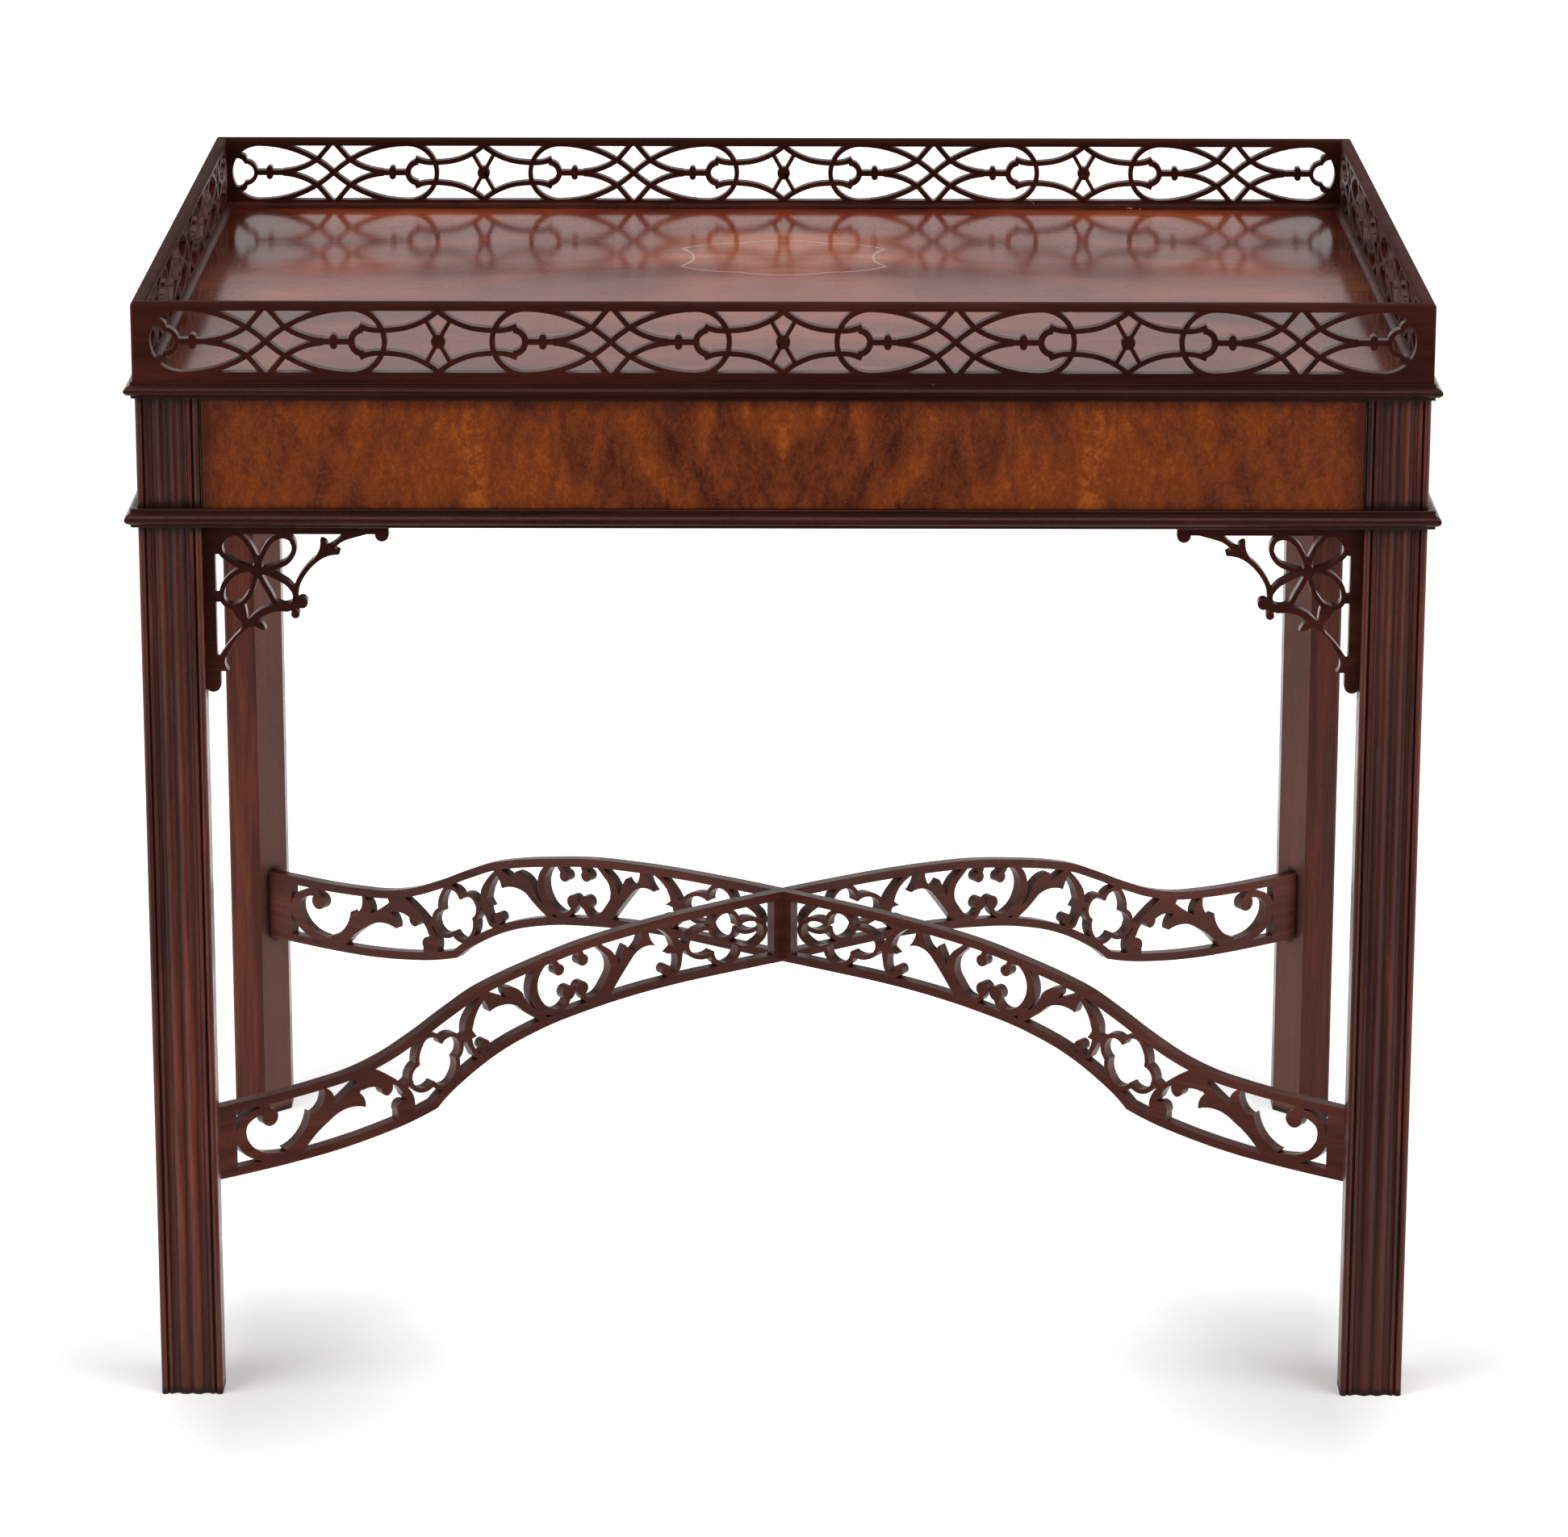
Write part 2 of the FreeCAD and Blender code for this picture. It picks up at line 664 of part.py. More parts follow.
def make_screws():
    """Round-headed wood screws, up through the corner blocks into the board."""
    radius = size("screw_diameter") / 2
    head = size("screw_head_diameter") / 2
    rise = size("screw_head_height")
    shank = size("block_height") + size("screw_grip")
    slot = radius / 2
    screws = []
    for x, y in screw_places():
        stem = Part.makeCylinder(radius, shank, Vector(x, y, 0))
        cap = Part.makeCone(head / 2, head, rise, Vector(x, y, -rise))
        notch = Part.makeBox(2 * head, slot, slot, Vector(x - head, y - slot / 2, -rise))
        screws.append(stem.fuse(cap).removeSplitter().cut(notch))
    feature("top_screws", Part.makeCompound(screws),
            Placement(Vector(0, 0, LEG_TOP_Z - size("block_height")), Rotation()))


# Gallery: a board pierced with ovals, lattices and stars, mitred at the corners

# One half period, from the middle of a lattice to the middle of a star: shares of the half
# period along, and shares of half the opening up
OVAL_LOW_SHARES = (0.495, 1.07)
OVAL_END_SHARE = 0.688
BRANCH_START_SHARES = (0.335, 0.035)
BRANCH_TURN_SHARES = (0.215, 0.170)
BRANCH_CROSS_SHARES = (0.105, 0.490)
# The knob and the cup beside it, and the same pair at the end of a panel
KNOB_SHARE = 0.3935
CUP_CENTRE_SHARE = 0.5655
END_KNOB_SHARE = 0.426
END_CUP_CENTRE_SHARE = 0.590
# A star's side runs through the oval's rim and ends as a horn over the cup
WING_LOW_SHARES = (0.700, 0.375)
HORN_SHARES = ((0.543, 0.508), (0.612, 0.388))
# An end cup has a small lobe above and below, which meets the oval's rim
END_CUP_REACH_SHARE = 0.595
LOBE_CENTRE_SHARES = (0.610, 0.508)
LOBE_WEB_SHARES = (0.647, 0.690)
LOBE_HOLLOW_SHARES = (0.641, 0.256)
LATTICES = {"top_length": 4, "top_depth": 3}
SPOKE_HEAD_SHARES = (0.930, 0.690)
# Widths and radii as shares of the bar; a star's tip is measured over half its foot
HORN_WIDTH_SHARE = 1.2
CUP_WIDTH_SHARE = 1.2
END_CUP_WIDTH_SHARE = 0.88
LOBE_RADIUS_SHARE = 1.09
LOBE_HOLLOW_RADIUS_SHARE = 1.61
STAR_TIP_SHARE = 2.0


def gallery_quarter(step, rise, at_post):
    """The upper right quarter of one lattice, with half of the next star."""
    bar = size("gallery_bar")

    def at(shares):
        return Vector(shares[0] * step, shares[1] * rise, 0)

    crown = at(OVAL_LOW_SHARES)
    rim_radius = (crown.x ** 2 + crown.y ** 2) / (2 * crown.y)
    bow_x = crown.x / 2
    bow = Vector(bow_x, crown.y - rim_radius + math.sqrt(rim_radius ** 2 - bow_x ** 2), 0)
    faces = [arc_bar(Vector(), bow, crown, bar)]
    start = at(BRANCH_START_SHARES)
    cross = at(BRANCH_CROSS_SHARES)
    faces.append(arc_bar(start, at(BRANCH_TURN_SHARES), cross, bar))
    apex = Vector(0, rise + bar, 0)
    faces.append(band([cross + (cross - apex).normalize() * bar / 2, apex], [bar, bar]))
    cup = Vector((END_CUP_CENTRE_SHARE if at_post else CUP_CENTRE_SHARE) * step, 0, 0)
    radius = size("gallery_end_cup_radius" if at_post else "gallery_cup_radius")
    half_bar = (END_CUP_WIDTH_SHARE if at_post else CUP_WIDTH_SHARE) * bar / 2
    cup_reach = END_CUP_REACH_SHARE * step if at_post else cup.x
    ring = disc(cup, radius + half_bar).cut(disc(cup, radius - half_bar))
    ring = ring.common(plate(cup.x - 2 * radius, 0.0, cup_reach, 2 * radius))
    stem = size("gallery_stem")
    faces.append(plate(start.x - stem, 0.0, cup.x - radius, stem / 2))
    knob = Vector((END_KNOB_SHARE if at_post else KNOB_SHARE) * step, 0, 0)
    half_width = size("gallery_knob_width") / 2
    half_height = size("gallery_knob_height") / 2
    shoulder = half_height - half_width
    faces.append(plate(knob.x - half_width, 0.0, knob.x + half_width, shoulder))
    faces.append(disc(knob + Vector(0, shoulder, 0), half_width).common(
        plate(knob.x - step, 0.0, knob.x + step, rise)))
    if at_post:
        lobe = at(LOBE_CENTRE_SHARES)
        web = at(LOBE_WEB_SHARES)
        hollow = disc(at(LOBE_HOLLOW_SHARES), LOBE_HOLLOW_RADIUS_SHARE * bar)
        shoulder = joined([disc(lobe, LOBE_RADIUS_SHARE * bar), plate(lobe.x, lobe.y, web.x, web.y)])
        shoulder = shoulder.cut(disc(cup, radius - half_bar))
        faces += [ring.cut(hollow), shoulder.cut(hollow)]
        return faces
    faces.append(ring)
    low = at(WING_LOW_SHARES)
    wing_end = Vector(step, rise, 0)
    run = wing_end.x - low.x
    wing_radius = (run ** 2 + (wing_end.y - low.y) ** 2) / (2 * (wing_end.y - low.y))
    middle_x = low.x + run / 2
    middle = Vector(middle_x, low.y + wing_radius - math.sqrt(wing_radius ** 2 - run ** 2 / 4), 0)
    horn = [at(shares) for shares in HORN_SHARES]
    faces.append(band(horn + [low, middle, wing_end], [HORN_WIDTH_SHARE * bar] + [bar] * 4))
    faces.append(band([Vector(step, 0, 0), at(SPOKE_HEAD_SHARES)], [size("gallery_spoke")] * 2))
    star = disc(Vector(step, 0, 0), size("gallery_boss_radius"))
    faces.append(star.common(plate(0.0, 0.0, step, rise)))
    apex_half = STAR_TIP_SHARE * bar
    faces.append(leaf([Vector(step - apex_half, rise + bar, 0), Vector(step - bar, rise + bar, 0),
                       Vector(step, rise + bar, 0), Vector(step, rise, 0),
                       Vector(step, rise - bar / 2, 0), Vector(step - bar, rise, 0)]))
    return faces


def arc_bar(start, middle, end, width):
    """A bar of even width along one arc."""
    centre = Part.Arc(start, middle, end).toShape().Curve.Center
    inner = [centre + (point - centre) * (1 - width / 2 / (point - centre).Length)
             for point in (start, middle, end)]
    outer = [centre + (point - centre) * (1 + width / 2 / (point - centre).Length)
             for point in (start, middle, end)]
    edges = [Part.Arc(*inner).toShape(), Part.LineSegment(inner[2], outer[2]).toShape(),
             Part.Arc(*reversed(outer)).toShape(), Part.LineSegment(outer[0], inner[0]).toShape()]
    return Part.Face(Part.Wire(edges))


def gallery_face(length, lattices):
    """The whole pierced face, seen from outside, with its foot at height zero."""
    high = size("gallery_height") - size("gallery_top_rail")
    low = size("gallery_foot_rail")
    rise = (high - low) / 2
    middle = Vector(0, (high + low) / 2, 0)
    post = size("gallery_post")
    step = (length / 2 - post) / (lattices - 1 + OVAL_END_SHARE)
    inside = joined(gallery_quarter(step, rise, False))
    outside = joined(gallery_quarter(step, rise, True))
    to_left = Vector(1, 0, 0)
    to_foot = Vector(0, 1, 0)
    bars = []
    crown = Vector(OVAL_LOW_SHARES[0] * step, OVAL_LOW_SHARES[1] * rise, 0)
    end = Vector(OVAL_END_SHARE * step, 0, 0)
    crown_low = Vector(crown.x, -crown.y, 0)
    oval_end = arc_bar(crown, end, crown_low, size("gallery_bar"))
    oval = leaf([crown, end, crown_low, Vector(crown.x, 0, 0)])
    fill = plate(crown.x, -rise - low, end.x + low, rise + low).cut(oval).Faces[0]
    for index in range(lattices):
        shift = middle + Vector((2 * index - lattices + 1) * step, 0, 0)
        bars += [oval_end.translated(shift), mirrored(oval_end, to_left).translated(shift)]
        if index == 0:
            bars.append(mirrored(fill, to_left).translated(shift))
        if index == lattices - 1:
            bars.append(fill.translated(shift))
        right = outside if index == lattices - 1 else inside
        left = outside if index == 0 else inside
        for quarter in (right, mirrored(left, to_left)):
            for copy in (quarter, mirrored(quarter, to_foot)):
                bars.append(copy.translated(shift))
    half = length / 2
    bars += [plate(-half, 0, half, low), plate(-half, high, half, size("gallery_height")),
             plate(-half, 0, -half + post, size("gallery_height")),
             plate(half - post, 0, half, size("gallery_height"))]
    window = plate(-half, 0, half, size("gallery_height"))
    return joined(bars).common(window)


def gallery_envelope(length):
    """The panel before it is pierced: rounded along the top and mitred at both ends."""
    thickness = size("gallery_thickness")
    height = size("gallery_height")
    radius = size("gallery_rounding")
    bulge = radius * (1 - HIP_SHARE)
    points = [Vector(-length / 2, v, w) for v, w in (
        (0, 0), (thickness, 0), (thickness, height - radius), (thickness - bulge, height - bulge),
        (thickness - radius, height), (radius, height), (bulge, height - bulge), (0, height - radius))]
    edges = [Part.LineSegment(points[0], points[1]).toShape(),
             Part.LineSegment(points[1], points[2]).toShape(),
             Part.Arc(points[2], points[3], points[4]).toShape(),
             Part.LineSegment(points[4], points[5]).toShape(),
             Part.Arc(points[5], points[6], points[7]).toShape(),
             Part.LineSegment(points[7], points[0]).toShape()]
    solid = Part.Face(Part.Wire(edges)).extrude(Vector(length, 0, 0))
    half = length / 2
    for sign in (-1, 1):
        wedge = [Vector(sign * (half + OVER), -OVER, -OVER),
                 Vector(sign * (half + OVER), thickness + OVER, -OVER),
                 Vector(sign * (half - thickness - OVER), thickness + OVER, -OVER)]
        wedge = Part.Face(Part.makePolygon(wedge + wedge[:1]))
        solid = solid.cut(wedge.extrude(Vector(0, 0, height + 2 * OVER)))
    return solid


def gallery_panel(length, lattices):
    """One pierced panel, seen from outside, with its outer face on the plane y = 0."""
    face = gallery_face(length, lattices)
    face.rotate(Vector(), Vector(1, 0, 0), 90)
    depth = size("gallery_thickness")
    pierced = face.extrude(Vector(0, depth + 2 * OVER, 0)).translated(Vector(0, -OVER, 0))
    return gallery_envelope(length).common(pierced).removeSplitter().Solids[0]


# Brackets: pierced spandrels between each leg and its rails

# Drawn from the inner corner: shares of the length along, and of the drop down
FLOWER_SHARES = (0.288, 0.280)
PETAL_SHARES = (
    ((0.324, 0.171), (0.362, 0.108), (0.415, 0.076), (0.471, 0.092), (0.489, 0.147),
     (0.460, 0.216), (0.384, 0.260)),
    ((0.267, 0.171), (0.229, 0.105), (0.180, 0.061), (0.127, 0.075), (0.088, 0.139),
     (0.157, 0.233), (0.237, 0.268)),
    ((0.214, 0.276), (0.142, 0.316), (0.098, 0.387), (0.093, 0.441), (0.131, 0.489),
     (0.184, 0.485), (0.243, 0.423), (0.267, 0.356)),
    ((0.403, 0.324), (0.461, 0.368), (0.490, 0.425), (0.481, 0.471), (0.437, 0.489),
     (0.392, 0.475), (0.344, 0.399)),
)
CORNER_WEB_SHARES = ((0.020, 0.030), (0.200, 0.030), (0.180, 0.061), (0.127, 0.075),
                     (0.093, 0.125), (0.088, 0.182), (0.020, 0.182))
UPPER_LEAF_SHARES = (
    (0.486, 0.368), (0.513, 0.308), (0.596, 0.208), (0.615, 0.179), (0.630, 0.099),
    (0.653, 0.103), (0.672, 0.135), (0.713, 0.107), (0.755, 0.050), (0.850, 0.045),
    (0.929, 0.050), (0.850, 0.073), (0.778, 0.095), (0.740, 0.115), (0.710, 0.143),
    (0.719, 0.154), (0.736, 0.163), (0.735, 0.175), (0.725, 0.185), (0.679, 0.191),
    (0.634, 0.212), (0.558, 0.288), (0.513, 0.377), (0.509, 0.402), (0.508, 0.429),
    (0.494, 0.434), (0.479, 0.429), (0.476, 0.400))
LOWER_LEAF_SHARES = (
    (0.475, 0.489), (0.422, 0.483), (0.369, 0.485), (0.290, 0.517), (0.228, 0.585),
    (0.226, 0.535), (0.214, 0.470), (0.180, 0.478), (0.142, 0.500), (0.162, 0.545),
    (0.195, 0.582), (0.196, 0.610), (0.185, 0.640), (0.122, 0.712), (0.070, 0.795),
    (0.050, 0.800), (0.021, 0.795), (0.018, 0.831), (0.021, 0.871),
    (0.067, 0.876), (0.123, 0.875), (0.103, 0.835), (0.113, 0.783), (0.156, 0.702),
    (0.225, 0.626), (0.248, 0.612), (0.271, 0.611), (0.293, 0.626), (0.328, 0.630),
    (0.312, 0.594), (0.286, 0.571), (0.354, 0.531), (0.445, 0.523), (0.462, 0.518),
    (0.475, 0.509), (0.482, 0.500))
TAB_SHARES = ((0.010, 0.441), (0.093, 0.441))
BIG_KNOB_SHARES = ((0.481, 0.466), (0.526, 0.469))
SMALL_KNOB_SHARES = ((0.472, 0.490), (0.489, 0.537))
CALYX_SHARES = (0.498, 0.478)
LEG_BULB_SHARES = (0.036, 0.9545)
RAIL_BULB_SHARES = (0.963, 0.067)
LEG_BULB_HEAD_SHARE = 0.850
# Radii and a width as shares of the bar
FLOWER_BOSS_SHARE = 1.3
LEG_BULB_RADIUS_SHARE = 1.56
RAIL_BULB_RADIUS_SHARE = 1.35
BIG_KNOB_RADIUS_SHARE = 1.15
SMALL_KNOB_RADIUS_SHARE = 0.85
TAB_WIDTH_SHARE = 1.6


def bracket_face():
    """One bracket in the plane, with its inner corner at the origin."""
    length = size("bracket_length")
    drop = size("bracket_drop")
    bar = size("bracket_bar")

    def at(shares):
        return Vector(shares[0] * length, -shares[1] * drop, 0)

    def run(table):
        return [at(shares) for shares in table]

    centre = at(FLOWER_SHARES)
    window = plate(0, -drop, length, 0)
    web = run(CORNER_WEB_SHARES)
    leg_bulb = at(LEG_BULB_SHARES)
    rail_bulb = at(RAIL_BULB_SHARES)
    leg_radius = LEG_BULB_RADIUS_SHARE * bar
    rail_radius = RAIL_BULB_RADIUS_SHARE * bar
    faces = [
        plate(0, leg_bulb.y, size("bracket_strip"), 0),
        plate(0, leg_bulb.y, leg_bulb.x + leg_radius, -LEG_BULB_HEAD_SHARE * drop),
        plate(0, -size("bracket_head"), length, 0),
        plate(rail_bulb.x, rail_bulb.y, length, 0),
        Part.Face(Part.makePolygon(web + web[:1])),
        leaf(run(UPPER_LEAF_SHARES)),
        leaf(run(LOWER_LEAF_SHARES)),
        band(run(TAB_SHARES), [TAB_WIDTH_SHARE * bar] * 2),
        disc(centre, FLOWER_BOSS_SHARE * bar),
        disc(at(CALYX_SHARES), bar),
        disc(leg_bulb, leg_radius).common(window).Faces[0],
        disc(rail_bulb, rail_radius).common(window).Faces[0],
    ]
    for table in PETAL_SHARES:
        line = [centre] + run(table) + [centre]
        faces.append(band(line[:5], [bar] * 5))
        faces.append(band(line[4:], [bar] * len(line[4:])))
        faces.append(disc(line[4], bar / 2))
    for table, share in ((BIG_KNOB_SHARES, BIG_KNOB_RADIUS_SHARE),
                         (SMALL_KNOB_SHARES, SMALL_KNOB_RADIUS_SHARE)):
        faces.append(band(run(table), [bar, bar]))
        faces.append(disc(at(table[1]), share * bar))
    return joined(faces)


def make_bracket(side, hand, degrees, half, distance, flat):
    """A bracket on one wall; hand is -1 beside its left leg and 1 beside its right leg."""
    face = flat.copy() if hand < 0 else mirrored(flat, Vector(1, 0, 0))
    face.rotate(Vector(), Vector(1, 0, 0), 90)
    solid = face.extrude(Vector(0, size("bracket_thickness"), 0)).Solids[0]
    side_name = "left" if hand < 0 else "right"
    feature(f"bracket_{side}_{side_name}", solid,
            turned(hand * (half - size("leg_width")), size("bracket_setback") - distance,
                   RAIL_FOOT_Z, degrees))


# Cross stretcher: two long boards halved together in the middle, each with two pierced arms

# An arm is drawn from the middle to the leg: shares of its length along, and of its rise up
TOP_EDGE_SHARES = (
    (0.000, 1.000), (0.112, 0.998), (0.193, 0.991), (0.275, 0.975), (0.362, 0.945),
    (0.438, 0.896), (0.514, 0.833), (0.547, 0.797), (0.601, 0.707), (0.655, 0.606),
    (0.710, 0.520), (0.764, 0.468), (0.818, 0.446), (0.873, 0.433), (0.954, 0.427),
    (1.000, ARM_END_SHARE))
FOOT_EDGE_SHARES = (
    (0.000, 0.571), (0.100, 0.573), (0.193, 0.572), (0.275, 0.558), (0.350, 0.530),
    (0.438, 0.475), (0.514, 0.386), (0.574, 0.268), (0.601, 0.200), (0.620, 0.137))
HEEL_EDGE_SHARES = (
    (0.620, 0.137), (0.660, 0.094), (0.723, 0.050), (0.791, 0.020), (0.873, 0.004),
    (0.940, 0.000), (1.000, 0.000))
LOBE_SHARES = (
    ((0.086, 0.857), (0.110, 0.951), (0.134, 0.857)),
    ((0.134, 0.857), (0.155, 0.871), (0.179, 0.786), (0.155, 0.701), (0.134, 0.712)),
    ((0.134, 0.712), (0.109, 0.624), (0.084, 0.712)),
    ((0.084, 0.712), (0.060, 0.705), (0.037, 0.786), (0.060, 0.869), (0.086, 0.857)),
)
RING_SHARES = (
    ((0.585, 0.409), (0.578, 0.491), (0.594, 0.556), (0.612, 0.530)),
    ((0.612, 0.530), (0.633, 0.578), (0.651, 0.500), (0.653, 0.423)),
    ((0.653, 0.423), (0.666, 0.354), (0.655, 0.274), (0.627, 0.287)),
    ((0.627, 0.287), (0.606, 0.253), (0.587, 0.322), (0.585, 0.409)),
)
# Scrolls: along, up, and width as a share of the bar
SCROLL_SHARES = (
    ((0.242, 0.955, 1.0), (0.207, 0.872, 1.2), (0.196, 0.799, 2.1), (0.193, 0.715, 1.2),
     (0.198, 0.650, 1.0), (0.208, 0.631, 1.0), (0.217, 0.655, 1.0)),
    ((0.347, 0.935, 1.0), (0.333, 0.889, 1.2), (0.315, 0.820, 1.7), (0.310, 0.746, 2.3),
     (0.321, 0.656, 2.3), (0.342, 0.592, 1.6), (0.359, 0.596, 1.0), (0.367, 0.645, 1.0)),
    ((0.423, 0.885, 1.0), (0.435, 0.857, 1.2), (0.449, 0.788, 1.8), (0.452, 0.714, 2.1),
     (0.446, 0.640, 2.2), (0.430, 0.580, 1.7), (0.409, 0.560, 1.1), (0.395, 0.590, 1.0),
     (0.390, 0.640, 1.0)),
    ((0.531, 0.765, 1.0), (0.5535, 0.676, 1.5), (0.5636, 0.597, 2.1), (0.565, 0.520, 1.6),
     (0.559, 0.450, 1.1), (0.547, 0.395, 1.0), (0.537, 0.430, 1.0)),
    ((0.850, 0.068, 1.2), (0.886, 0.060, 1.6), (0.917, 0.083, 1.8), (0.940, 0.145, 2.4),
     (0.949, 0.220, 2.5), (0.945, 0.290, 1.9), (0.927, 0.338, 1.7), (0.906, 0.345, 1.2)),
)
# Balls: along, up, and radius as a share of the bar
BALL_SHARES = (
    (0.217, 0.669, 1.15), (0.365, 0.836, 1.30), (0.367, 0.666, 1.55), (0.407, 0.806, 1.25),
    (0.3905, 0.656, 1.60), (0.537, 0.452, 1.20), (0.678, 0.184, 1.65), (0.901, 0.300, 1.85),
)
NECK_SHARES = (
    ((0.374, 0.925), (0.366, 0.850), 1.3),
    ((0.418, 0.875), (0.408, 0.820), 1.3),
    ((0.676, 0.100), (0.676, 0.184), 3.4),
    ((0.914, 0.400), (0.903, 0.320), 2.0),
    ((0.181, 0.786), (0.194, 0.790), 1.6),
    ((0.663, 0.340), (0.676, 0.305), 1.4),
    ((0.565, 0.530), (0.581, 0.500), 1.4),
)
# Radius of the joints in the lobes and the ring, as a share of the bar
LOBE_JOINT_SHARE = 0.55
STRETCHER_LEAF_SHARES = (
    ((0.249, 0.950), (0.246, 0.885), (0.235, 0.828), (0.250, 0.840), (0.278, 0.786),
     (0.296, 0.700), (0.322, 0.565), (0.330, 0.560), (0.337, 0.555), (0.319, 0.630),
     (0.305, 0.709), (0.299, 0.790), (0.289, 0.872), (0.284, 0.846), (0.276, 0.830),
     (0.264, 0.880), (0.262, 0.950), (0.255, 0.952)),
    ((0.430, 0.505), (0.452, 0.553), (0.4815, 0.645), (0.505, 0.668), (0.529, 0.645),
     (0.535, 0.700), (0.552, 0.765), (0.545, 0.772), (0.537, 0.776), (0.515, 0.735),
     (0.496, 0.703), (0.503, 0.735), (0.502, 0.770), (0.484, 0.755), (0.471, 0.714),
     (0.458, 0.630), (0.432, 0.570), (0.430, 0.540)),
    ((0.735, 0.470), (0.698, 0.385), (0.6745, 0.311), (0.6595, 0.225), (0.665, 0.105),
     (0.669, 0.104), (0.673, 0.103), (0.668, 0.190), (0.677, 0.248), (0.684, 0.300),
     (0.696, 0.338), (0.697, 0.300), (0.704, 0.2765), (0.712, 0.290), (0.715, 0.327),
     (0.727, 0.345), (0.747, 0.340), (0.753, 0.380), (0.762, 0.445), (0.750, 0.460)),
    ((0.737, 0.460), (0.768, 0.360), (0.794, 0.2956), (0.795, 0.345), (0.812, 0.405),
     (0.811, 0.345), (0.828, 0.268), (0.831, 0.270), (0.8345, 0.282), (0.843, 0.190),
     (0.878, 0.095), (0.868, 0.060), (0.849, 0.045), (0.825, 0.145), (0.802, 0.2055),
     (0.772, 0.254), (0.742, 0.237), (0.744, 0.290), (0.752, 0.330), (0.743, 0.380)),
    ((0.560, 0.565), (0.556, 0.540), (0.551, 0.513), (0.557, 0.508), (0.564, 0.500),
     (0.566, 0.530)),
    ((0.196, 0.830), (0.203, 0.796), (0.214, 0.764), (0.204, 0.762), (0.196, 0.750),
     (0.192, 0.790)),
)


def stretcher_arm_face():
    """One pierced arm in the plane, from the middle of the table to the leg."""
    bar = size("stretcher_bar")
    rail = size("stretcher_rail")
    rise = size("stretcher_rise")

    def at(shares):
        return Vector(shares[0] * ARM_LENGTH, shares[1] * rise, 0)

    def run(table):
        return [at(shares) for shares in table]

    top, foot, heel = (run(table) for table in (TOP_EDGE_SHARES, FOOT_EDGE_SHARES,
                                                HEEL_EDGE_SHARES))
    post = 2 * size("stretcher_post")
    faces = [
        band(top, [rail] * len(top), (-1, 0)),
        band(foot, [rail] * len(foot), (0, 1)),
        band(heel, [rail] * len(heel), (0, 1)),
        plate(0, foot[0].y, post / 2, top[0].y),
        plate(ARM_LENGTH - post, heel[-1].y, ARM_LENGTH + post, top[-1].y),
    ]
    for table in LOBE_SHARES + RING_SHARES:
        line = run(table)
        faces.append(band(line, [bar] * len(line)))
        faces.append(disc(line[0], LOBE_JOINT_SHARE * bar))
    for table in SCROLL_SHARES:
        faces.append(band(run(table), [bar * shares[2] for shares in table]))
    faces += [disc(at(shares), bar * shares[2]) for shares in BALL_SHARES]
    faces += [band([at(start), at(end)], [bar * share] * 2) for start, end, share in NECK_SHARES]
    faces += [leaf(run(table)) for table in STRETCHER_LEAF_SHARES]
    return joined(faces)


def make_stretcher(label, degrees, arm, lap_below):
    """A board with two arms, shouldered and tenoned into the chamfers of two legs."""
    thickness = size("stretcher_thickness")
    rise = size("stretcher_rise")
    board = joined([arm, mirrored(arm, Vector(1, 0, 0))])
    board.rotate(Vector(), Vector(1, 0, 0), 90)
    board = board.extrude(Vector(0, thickness, 0)).translated(Vector(0, -thickness / 2, 0))
    skew = 45.0 - degrees if degrees > 0 else -45.0 - degrees
    shoulder = size("stretcher_tenon_shoulder")
    tenon_rise = ARM_END_SHARE * rise - 2 * shoulder
    reach = size("stretcher_tenon_length")
    for turn in (0.0, 180.0):
        end = Part.makeBox(4 * rise, 4 * thickness, 2 * rise, Vector(0, -2 * thickness, -rise / 2))
        end.rotate(Vector(), Vector(0, 0, 1), skew)
        end.translate(Vector(ARM_LENGTH, 0, 0))
        tenon = Part.makeBox(reach + thickness, thickness, tenon_rise,
                             Vector(ARM_LENGTH - thickness, -thickness / 2, shoulder))
        for tool in (end, tenon):
            tool.rotate(Vector(), Vector(0, 0, 1), turn)
        board = board.cut(end).fuse(tenon)
    lap_low = (1 + FOOT_EDGE_SHARES[0][1]) / 2 * rise
    if lap_below:
        slot = Part.makeBox(4 * thickness, thickness, lap_low, Vector(-2 * thickness, -thickness / 2, 0))
    else:
        slot = Part.makeBox(4 * thickness, thickness, rise,
                            Vector(-2 * thickness, -thickness / 2, lap_low))
    slot.rotate(Vector(), Vector(0, 0, 1), -2 * degrees)
    board = board.cut(slot).removeSplitter()
    feature(label, board.Solids[0],
            Placement(Vector(0, 0, size("stretcher_floor_gap")), Rotation(Vector(0, 0, 1), degrees)))


def check_and_export():
    DOC.recompute()
    for item in DOC.Objects:
        if "Invalid" in item.State or "Error" in item.State:
            raise ValueError(f"{item.Label} failed: {item.State}")
    for item in SUB_PARTS:
        if item.Shape.isNull() or not item.Shape.isValid():
            raise ValueError(f"{item.Label} is not a valid shape")
    os.makedirs("parts", exist_ok=True)
    for item in SUB_PARTS:
        item.Shape.exportStep(f"parts/{item.Label}.step")


